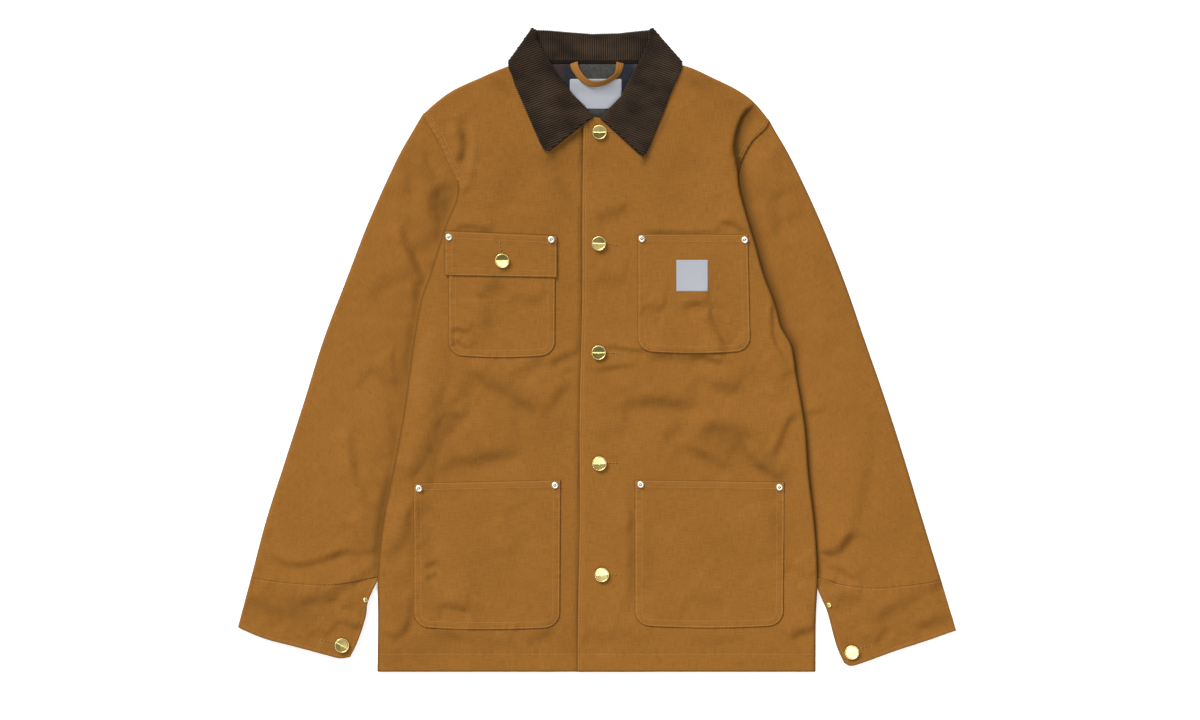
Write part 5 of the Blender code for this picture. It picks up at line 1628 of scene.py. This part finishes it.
# Ribs run across the leaves, and up the back of the stand.
def collarRibs(rows):
    shape = collarShape
    grid = collarSections(rows, shape["half"] - shape["waleSink"] + 0.4, 0, fallShares,
                          shape["edgeRoll"])
    turn, skip = rows[:, 0], shape["ribsFrom"]
    stands = len(shape["standShares"])
    tilt = math.radians(shape["leafTilt"])
    right, left = (half[turn[half] > -10] for half in np.split(np.arange(len(rows)),
                                                               [len(rows) // 2]))
    lines = []
    for leaf in (grid[right[skip:]], grid[left[:-skip]]):
        field = leaf[:, :, 1] * math.cos(tilt) + np.abs(leaf[:, :, 0]) * math.sin(tilt)
        lines += ribLines(leaf, field, 246, 412, range(stands + 1, leaf.shape[1]))
    back = grid[turn < -80]
    return lines + ribLines(back, back[:, :, 0], -84, 80, range(2, stands + 10))


def buildCollar():
    shape = collarShape
    rows = fineStations()
    turn = rows[:, 0]
    points = collarSections(rows, shape["half"] - 0.45, 0, fallShares, shape["edgeRoll"])
    run = lineLengths(rows[:, 3:5] + np.c_[turn * 0.06, turn * 0])
    cloth = np.meshgrid(run, lineLengths(points[len(points) // 2]), indexing="ij")
    clothPiece("collar_ground", "corduroy", "collar", points, shape["wall"] - 0.4,
               shape["sheet"], flip=True, cloth=np.stack(cloth, -1))
    tubes("collar_ribs", collarRibs(rows), "ribs", shape["waleRadius"],
          shape["waleSides"])
    sewn("stand_stitches", [points[turn < -80][:, 2] + np.array([0, 0, 0.25])],
         "darkThread")
    # The canvas under collar shows as a thin line past the corduroy's edges. It is made paler all
    # over: painted light that keeps this line bright.
    shows, wide = shape["underShows"], rows.copy()
    for end, inner in ((0, 2), (-1, -3)):
        reach = rows[end] - rows[inner]
        wide[end] += reach / np.linalg.norm(reach[5:7]) * shows
    drop = wide[:, 5:7] - wide[:, 3:5]
    wide[:, 5:7] += unit(drop) * (shows * fade(wide[:, 6], 325, 345))[:, None]
    shares = np.r_[np.linspace(0.1, 0.96, 8), 0.985, 1.0]
    under = collarSections(wide, shape["half"], shape["wall"] + 0.3, shares, 0.7)
    clothPiece("under_collar_cloth", "canvas", "under_collar", under, shape["underWall"],
               shape["underSheet"], flip=True, wear=np.full(under.shape[:2], 0.35))


buildCollar()
print("collar built")

# Inside the neck: lining, label and hanger loop.
neckParts = {
    "liningGap": 0.6, "liningWall": 1.0, "labelGap": 0.5, "labelWall": 0.7,
    "label": {"left": -34.0, "right": 31.0, "bottom": 302.0, "top": 339.5},
    # (x, y, rise, width) along the hanger loop
    "loop": [(-28.9, 359.6, -1.4, 9.6), (-27.5, 354, 0.2, 9.0), (-24.5, 348.5, 1.2, 8.2),
             (-20.3, 342.5, 2.0, 7.5), (-14, 336.6, 2.5, 7.0), (-6.2, 333.5, 2.8, 6.7),
             (3, 333.6, 2.8, 5.6), (11, 336, 2.6, 4.6), (17.5, 339.6, 2.2, 4.4),
             (22.5, 343.2, 1.8, 4.9), (25.6, 347, 1.3, 6.3), (27.3, 351.8, 0.6, 8.0),
             (28.9, 359.6, -1.4, 9.3)],
    "tapeWidth": 9.6, "loopLean": 0.32, "loopWall": 1.3, "labelRound": 1.4, "labelStitch": 1.6,
    "liningSheet": {"flat": (0.120, 0.095), "area": 0.0085, "held": "laid",
                    "rests_on": ["back_cloth"]},
    "labelSheet": {"flat": (0.075, 0.048), "area": 0.0031, "held": "laid",
                   "rests_on": ["neck_lining_cloth"]},
    "loopSheet": {"flat": (0.085, 0.024), "area": 0.0007, "held": "folded",
                  "rests_on": ["neck_lining_cloth", "collar_ground"]},
}


def liningTop(x, y):
    lift = heights["bodyWall"] + heights["backNeckLift"] * neckLift(x, y)
    return lift + neckParts["liningGap"] + neckParts["liningWall"] + uneven("lining", x, y)


def buildLining():
    parts = neckParts
    ys = np.r_[266:356:2.0, 356, 357.5, 358.6, 360.5]
    y = np.repeat(ys[:, None], 48, 1)
    x = -4 + np.linspace(-1, 1, 48) * (59 - 29 * ease(-y, -345, -262))
    z = liningTop(x, y) - 2.6 * ease(y, 354, 360.5)
    clothPiece("neck_lining_cloth", "lining", "neck_lining", np.dstack([x, y, z]),
               parts["liningWall"], parts["liningSheet"])


def buildNeckLabel():
    parts = neckParts
    label, inset, curve = parts["label"], parts["labelStitch"], parts["labelRound"]
    xs = np.linspace(label["left"], label["right"], 44)
    ys = np.linspace(label["bottom"], label["top"], 28)
    x, y, fromEdge = labelGrid(xs, ys)
    near = np.clip(curve - (ys[-1] - y), 0, curve)
    middle = (xs[0] + xs[-1]) / 2
    x = middle + (x - middle) * (1 - (curve - np.sqrt(curve ** 2 - near ** 2)) / (xs[-1] - middle))

    def surface(x, y):
        return liningTop(x, y) + (parts["labelGap"] + parts["labelWall"])

    z = surface(x, y) - 0.4 * roundDrop(fromEdge, 1.5) + groove(fromEdge - 1.8, 0.2)
    z = z + 0.5 * bell(x + 2, 18) * (y - ys[0]) / 37
    clothPiece("neck_label_cloth", "label", "neck_label", np.dstack([x, y, z]),
               parts["labelWall"], parts["labelSheet"])
    left, right, low, high = xs[0] + inset, xs[-1] - inset, ys[0] + inset, ys[-1] - inset
    path = [(left, high), (left, low), (right, low), (right, high)]
    sewn("neck_label_stitches", [onSurface(path, surface)], "labelThread", 0.7)


def buildLoop():
    parts = neckParts
    loop = np.array(parts["loop"], float)
    fine = smoothLine(loop[:, :2], 8)
    at = np.linspace(0, len(loop) - 1, len(fine))
    rise, width = (np.interp(at, np.arange(len(loop)), loop[:, k]) for k in (2, 3))
    aside = shifted(fine, 1.0) - fine
    base = heights["bodyWall"] + heights["backNeckLift"] + 1.6 + parts["loopWall"]
    turned = parts["loopLean"] * np.sqrt(np.maximum(parts["tapeWidth"] ** 2 - width ** 2, 0))
    rows = []
    for offset in np.linspace(-1, 1, 13):
        flat = fine + aside * (offset * width / 2)[:, None]
        edge = 0.5 * (1 - math.sqrt(1 - min(abs(offset), 0.999) ** 2))
        crease = 0.35 * bell(offset, 0.14) + 0.25 * bell(abs(offset) - 0.72, 0.1)
        rows.append(np.c_[flat, base + rise - edge - crease + turned * offset])
    clothPiece("hanger_loop_tape", "tape", "hanger_loop", np.array(rows), parts["loopWall"],
               parts["loopSheet"], flip=True)


buildLining()
buildNeckLabel()
buildLoop()
print("neck built")

# Buttons and rivets, turned once and set on their places.
buttonShape = {
    "steps": 44,
    # radius and height in millimetres, from the middle of the face to the cloth
    "profile": [(0.0, 4.25), (1.8, 4.23), (3.8, 4.15), (5.6, 4.02), (7.0, 3.88), (7.6, 3.92),
                (7.9, 4.35), (8.25, 4.7), (8.75, 4.5), (9.0, 4.0), (8.9, 3.2), (8.2, 2.5),
                (6.4, 2.1), (4.2, 1.7), (4.0, 0.2), (0.0, 0.2)],
    "faceRadius": 7.7, "bar": (7.7, 0.85, 4.62),
    # x, y, lean about x and y, turn about z, and how dark the upper and the lower half are: tarnish
    # and a painted dark reflection
    "front": [(3.1, 272.6, 0.0, 0.03, 0.0, 0.55, 0.9), (2.6, 133.4, -0.05, -0.08, -0.05, 0.85, 0.5),
              (2.0, -2.7, 0.0, 0.03, 0.0, 0.9, 0.95), (3.1, -141.1, 0.07, -0.03, 0.03, 0.1, 0.9),
              (6.2, -280.0, 0.09, -0.03, 0.05, 0.0, 0.75)],
    "flap": [(-118.5, 112.3, 0.10, 0.04, 0.0, 0.95, 0.1)],
    "cuff": {"right": (-318.8, -368.5, 0.0, 0.03, -0.50, 0.75, 0.9),
             "left": (318.4, -376.6, 0.12, -0.06, 0.4, 0.0, 0.0)},
}
rivetShape = {
    "steps": 24, "lean": 0.10, "seed": 5, "tarnishAndPaintedDark": 0.9, "darkRing": (0.8, 2.0),
    "profile": [(0.0, 2.3), (0.6, 2.2), (0.9, 1.5), (1.3, 1.5), (1.7, 2.0), (2.4, 2.15),
                (3.4, 1.9), (4.2, 1.3), (4.5, 0.6), (4.4, 0.1), (0.0, 0.1)],
    "pocket": {
        "rivet_chest_right_outer": (-185.0, 141.5), "rivet_chest_right_inner": (-57.0, 138.5),
        "rivet_chest_left_inner": (56.0, 139.5), "rivet_chest_left_outer": (184.5, 138.0),
        "rivet_hip_right_outer": (-222.5, -172.5), "rivet_hip_right_inner": (-52.5, -168.5),
        "rivet_hip_left_inner": (54.5, -167.5), "rivet_hip_left_outer": (228.0, -171.0)},
    "cuff": {"right": (-289.5, -312.0), "left": (290.0, -318.5)}, "cuffSize": 0.72,
    "cuffLean": 0.35,
}


# A closed turned shape about the Z axis.
def turnedShape(shape):
    steps, profile = shape["steps"], shape["profile"]
    angles = np.linspace(0, 2 * math.pi, steps, endpoint=False)
    points = [(0, 0, profile[0][1])]
    for radius, height in profile[1:-1]:
        points += [(radius * math.cos(a), radius * math.sin(a), height) for a in angles]
    points.append((0, 0, profile[-1][1]))
    last = 1 + (len(profile) - 3) * steps
    faces = []
    for k in range(steps):
        after = (k + 1) % steps
        faces.append((0, 1 + k, 1 + after))
        for a in range(1, last, steps):
            faces.append((a + k, a + steps + k, a + steps + after, a + after))
        faces.append((last + k, len(points) - 1, last + after))
    return points, faces


# The plain bar across a button's face.
def addBar(points, faces, shape):
    half, thick, top = shape["bar"]
    low = top - 1.0
    start = len(points)
    section = [(-thick, low), (-thick, top - 0.42), (-thick * 0.75, top - 0.28),
               (thick * 0.5, top), (thick, top - 0.35), (thick, low)]
    points += [(x, y, z) for x in (-half, 0.4 - half, half - 0.4, half) for y, z in section]
    count = len(section)
    end = start + 3 * count
    for first in range(start, end, count):
        for k in range(count):
            after = (k + 1) % count
            faces.append((first + k, first + after, first + count + after, first + count + k))
    faces.append(tuple(start + k for k in range(count - 1, -1, -1)))
    faces.append(tuple(end + k for k in range(count)))


# The attribute "part" is 1 and -1 on the two halves of a button's face, or 1 on a rivet's dark ring
# of tarnish and painted shade.
def turnedTemplate(name, shape):
    points, faces = turnedShape(shape)
    at = np.array(points)
    radius = np.hypot(at[:, 0], at[:, 1])
    onTop = at[:, 2] > shape["profile"][0][1] * 0.55
    if "bar" in shape:
        part = np.where(onTop & (radius < shape["faceRadius"]), np.sign(at[:, 1] + 0.01), 0.0)
        addBar(points, faces, shape)
        part = np.r_[part, np.zeros(len(points) - len(part))]
    else:
        low, high = shape["darkRing"]
        part = np.where(onTop & (radius > low) & (radius < high), 1.0, 0.0)
    made = meshObject(name, points, faces=faces)
    addAttribute(made, "part", part)
    return made


# Spots hold a place, a lean and turn, and how dark the two halves are: tarnish together with
# painted dark reflection on buttons and painted shade on rivets.
def setPieces(name, spots, template, nodes, size=1.0, metal="brass"):
    spots = np.array(spots, float)
    made = meshObject(name, spots[:, :3])
    addAttribute(made, "lean", spots[:, 3:6], "FLOAT_VECTOR", "vector")
    addAttribute(made, "upper", spots[:, 6])
    addAttribute(made, "lower", spots[:, 7])
    finishPiece(dress(made, trees["set"], {
        "Template": template, "Size": size, "Material": materials[metal]}), nodes)


# A spot at the highest point of the cloth under a round piece.
def standing(surface, spot, radius):
    angles = np.linspace(0, 2 * math.pi, 12, endpoint=False)
    x = spot[0] + radius * np.r_[0, np.cos(angles)]
    y = spot[1] + radius * np.r_[0, np.sin(angles)]
    return (spot[0], spot[1], float(np.max(surface(x, y))))


onFront = partial(frontSkin, "left")
onCuff = {side: partial(cuffSurface, side) for side in sides}


def buildButtons():
    button = turnedTemplate("buttonTemplate", buttonShape)
    spots = [standing(onFront, spot, 5) + spot[2:] for spot in buttonShape["front"]]
    setPieces("front_buttons", spots, button, [f"front_button_{k}" for k in range(1, 6)])
    spots = [standing(flapSkin, spot, 5) + spot[2:] for spot in buttonShape["flap"]]
    setPieces("flap_button_brass", spots, button, ["flap_button"])
    spots = [standing(onCuff[side], spot, 5) + spot[2:]
             for side, spot in buttonShape["cuff"].items()]
    setPieces("cuff_buttons", spots, button, ["cuff_button_right", "cuff_button_left"])
    bpy.data.objects.remove(button)


def buildRivets():
    shape = rivetShape
    rivet = turnedTemplate("rivetTemplate", shape)
    chance = np.random.default_rng(shape["seed"])
    spots = []
    for name, spot in shape["pocket"].items():
        _, place, side, _ = name.split("_")
        surface = partial(pocketSurface, f"{place}_pocket_{side}")
        if place == "chest" and side == "right":
            surface = flapSkin
        lean = chance.uniform(-1, 1, 3) * (shape["lean"], shape["lean"], 3.0)
        spots.append(standing(surface, spot, 3) + (*lean, shape["tarnishAndPaintedDark"], 0.0))
    setPieces("pocket_rivets", spots, rivet, list(shape["pocket"]), metal="rivets")
    spots = [standing(onCuff[side], spot, 2)
             + (0.0, shape["cuffLean"] * -outward[side], 0.0, shape["tarnishAndPaintedDark"], 0.0)
             for side, spot in shape["cuff"].items()]
    setPieces("cuff_rivets", spots, rivet, ["rivet_cuff_right", "rivet_cuff_left"],
              shape["cuffSize"])
    bpy.data.objects.remove(rivet)


# Buttonholes: a dark slit between two rows of thread, beside each button. The slit is a thin dark
# tube: painted shade in the cut.
buttonholes = {
    "front": [((10.5, 272.3), (26.5, 272.0)), ((10.5, 132.6), (27.0, 131.4)),
              ((9.5, -3.5), (26.5, -4.6)), ((10.5, -141.2), (27.5, -141.4)),
              ((13.5, -280.4), (27.0, -281.0))],
    "flap": [((-119.4, 121.5), (-120.6, 135.0))],
    "right": [((-345.5, -362.5), (-329.0, -366.0))],
    "left": [((331.0, -372.4), (342.5, -369.0))],
    "reach": 0.85, "slitRadius": 0.22,
}


def buildButtonholes():
    threads, slits = [], []
    for place, surface in {"front": onFront, "flap": flapSkin, **onCuff}.items():
        for hole in buttonholes[place]:
            slit = evenLine(np.array(hole, float), 2.0)
            slits.append(onSurface(slit, surface, 0.1, 2.0))
            for away in (-buttonholes["reach"], buttonholes["reach"]):
                threads.append(onSurface(shifted(slit, away), surface, 0.15, 2.0))
    sewn("buttonhole_threads", threads, size=1.1)
    tubes("buttonhole_slits", slits, "slit", buttonholes["slitRadius"], 6)


buildButtonholes()
buildButtons()
buildRivets()
print("buttons and rivets set")

# Studio: a pale floor, soft light from the upper left, and the camera overhead.
studio = {
    "floorSize": 6.0, "floorZ": -0.3, "floorColour": (0.90, 0.90, 0.90, 1), "floorGlow": 0.35,
    "world": 0.34, "sunHeight": 36.0, "sunTurn": 33.0, "sunPower": 4.1, "sunAngle": 30.0,
    "softPlace": (0.3, -1.3, 3.3), "softSize": 1.9, "softPower": 62.0,
    "lens": 85.0, "cameraPlace": (0.00375, -0.0119, 3.55),
}


def buildFloor():
    material, shader = newMaterial("paleFloor", 0.9)
    pale = studio["floorColour"]
    patches = times(noiseNode(objectPlace(shader), 3.0, 2), 0.04)
    paint(shader, blendColour(patches, pale, (0.8, 0.8, 0.8, 1)))
    shader.inputs["Emission Color"].default_value = pale
    shader.inputs["Emission Strength"].default_value = studio["floorGlow"]
    half = studio["floorSize"] / 2 / mm
    corners = [(-half, -half), (half, -half), (half, half), (-half, half)]
    floor = meshObject("floor", [(x, y, studio["floorZ"]) for x, y in corners],
                       faces=[(0, 1, 2, 3)])
    floor.data.materials.append(material)


def buildLights():
    world = bpy.context.scene.world or bpy.data.worlds.new("studio")
    bpy.context.scene.world = world
    world.use_nodes = True
    background = world.node_tree.nodes["Background"]
    background.inputs[0].default_value = (1, 1, 1, 1)
    background.inputs[1].default_value = studio["world"]
    sun = bpy.data.lights.new("key", "SUN")
    sun.energy = studio["sunPower"]
    sun.angle = math.radians(studio["sunAngle"])
    placeObject("key", sun, turn=(math.radians(studio["sunHeight"] - 90), 0,
                                  math.radians(studio["sunTurn"])))
    soft = bpy.data.lights.new("overhead", "AREA")
    soft.shape = "DISK"
    soft.size = studio["softSize"]
    soft.energy = studio["softPower"]
    x, y, z = studio["softPlace"]
    aim = (math.atan2(math.hypot(x, y), z), 0.0, math.atan2(x, -y))  # at the coat's middle
    placeObject("overhead", soft, (x, y, z), aim)


def buildCamera():
    data = bpy.data.cameras.new("camera")
    data.lens = studio["lens"]
    data.sensor_width = 36.0
    data.dof.use_dof = False
    bpy.context.scene.camera = placeObject("camera", data, studio["cameraPlace"])
    bpy.context.scene.view_settings.view_transform = "Standard"


buildFloor()
buildLights()
buildCamera()
print("studio ready")
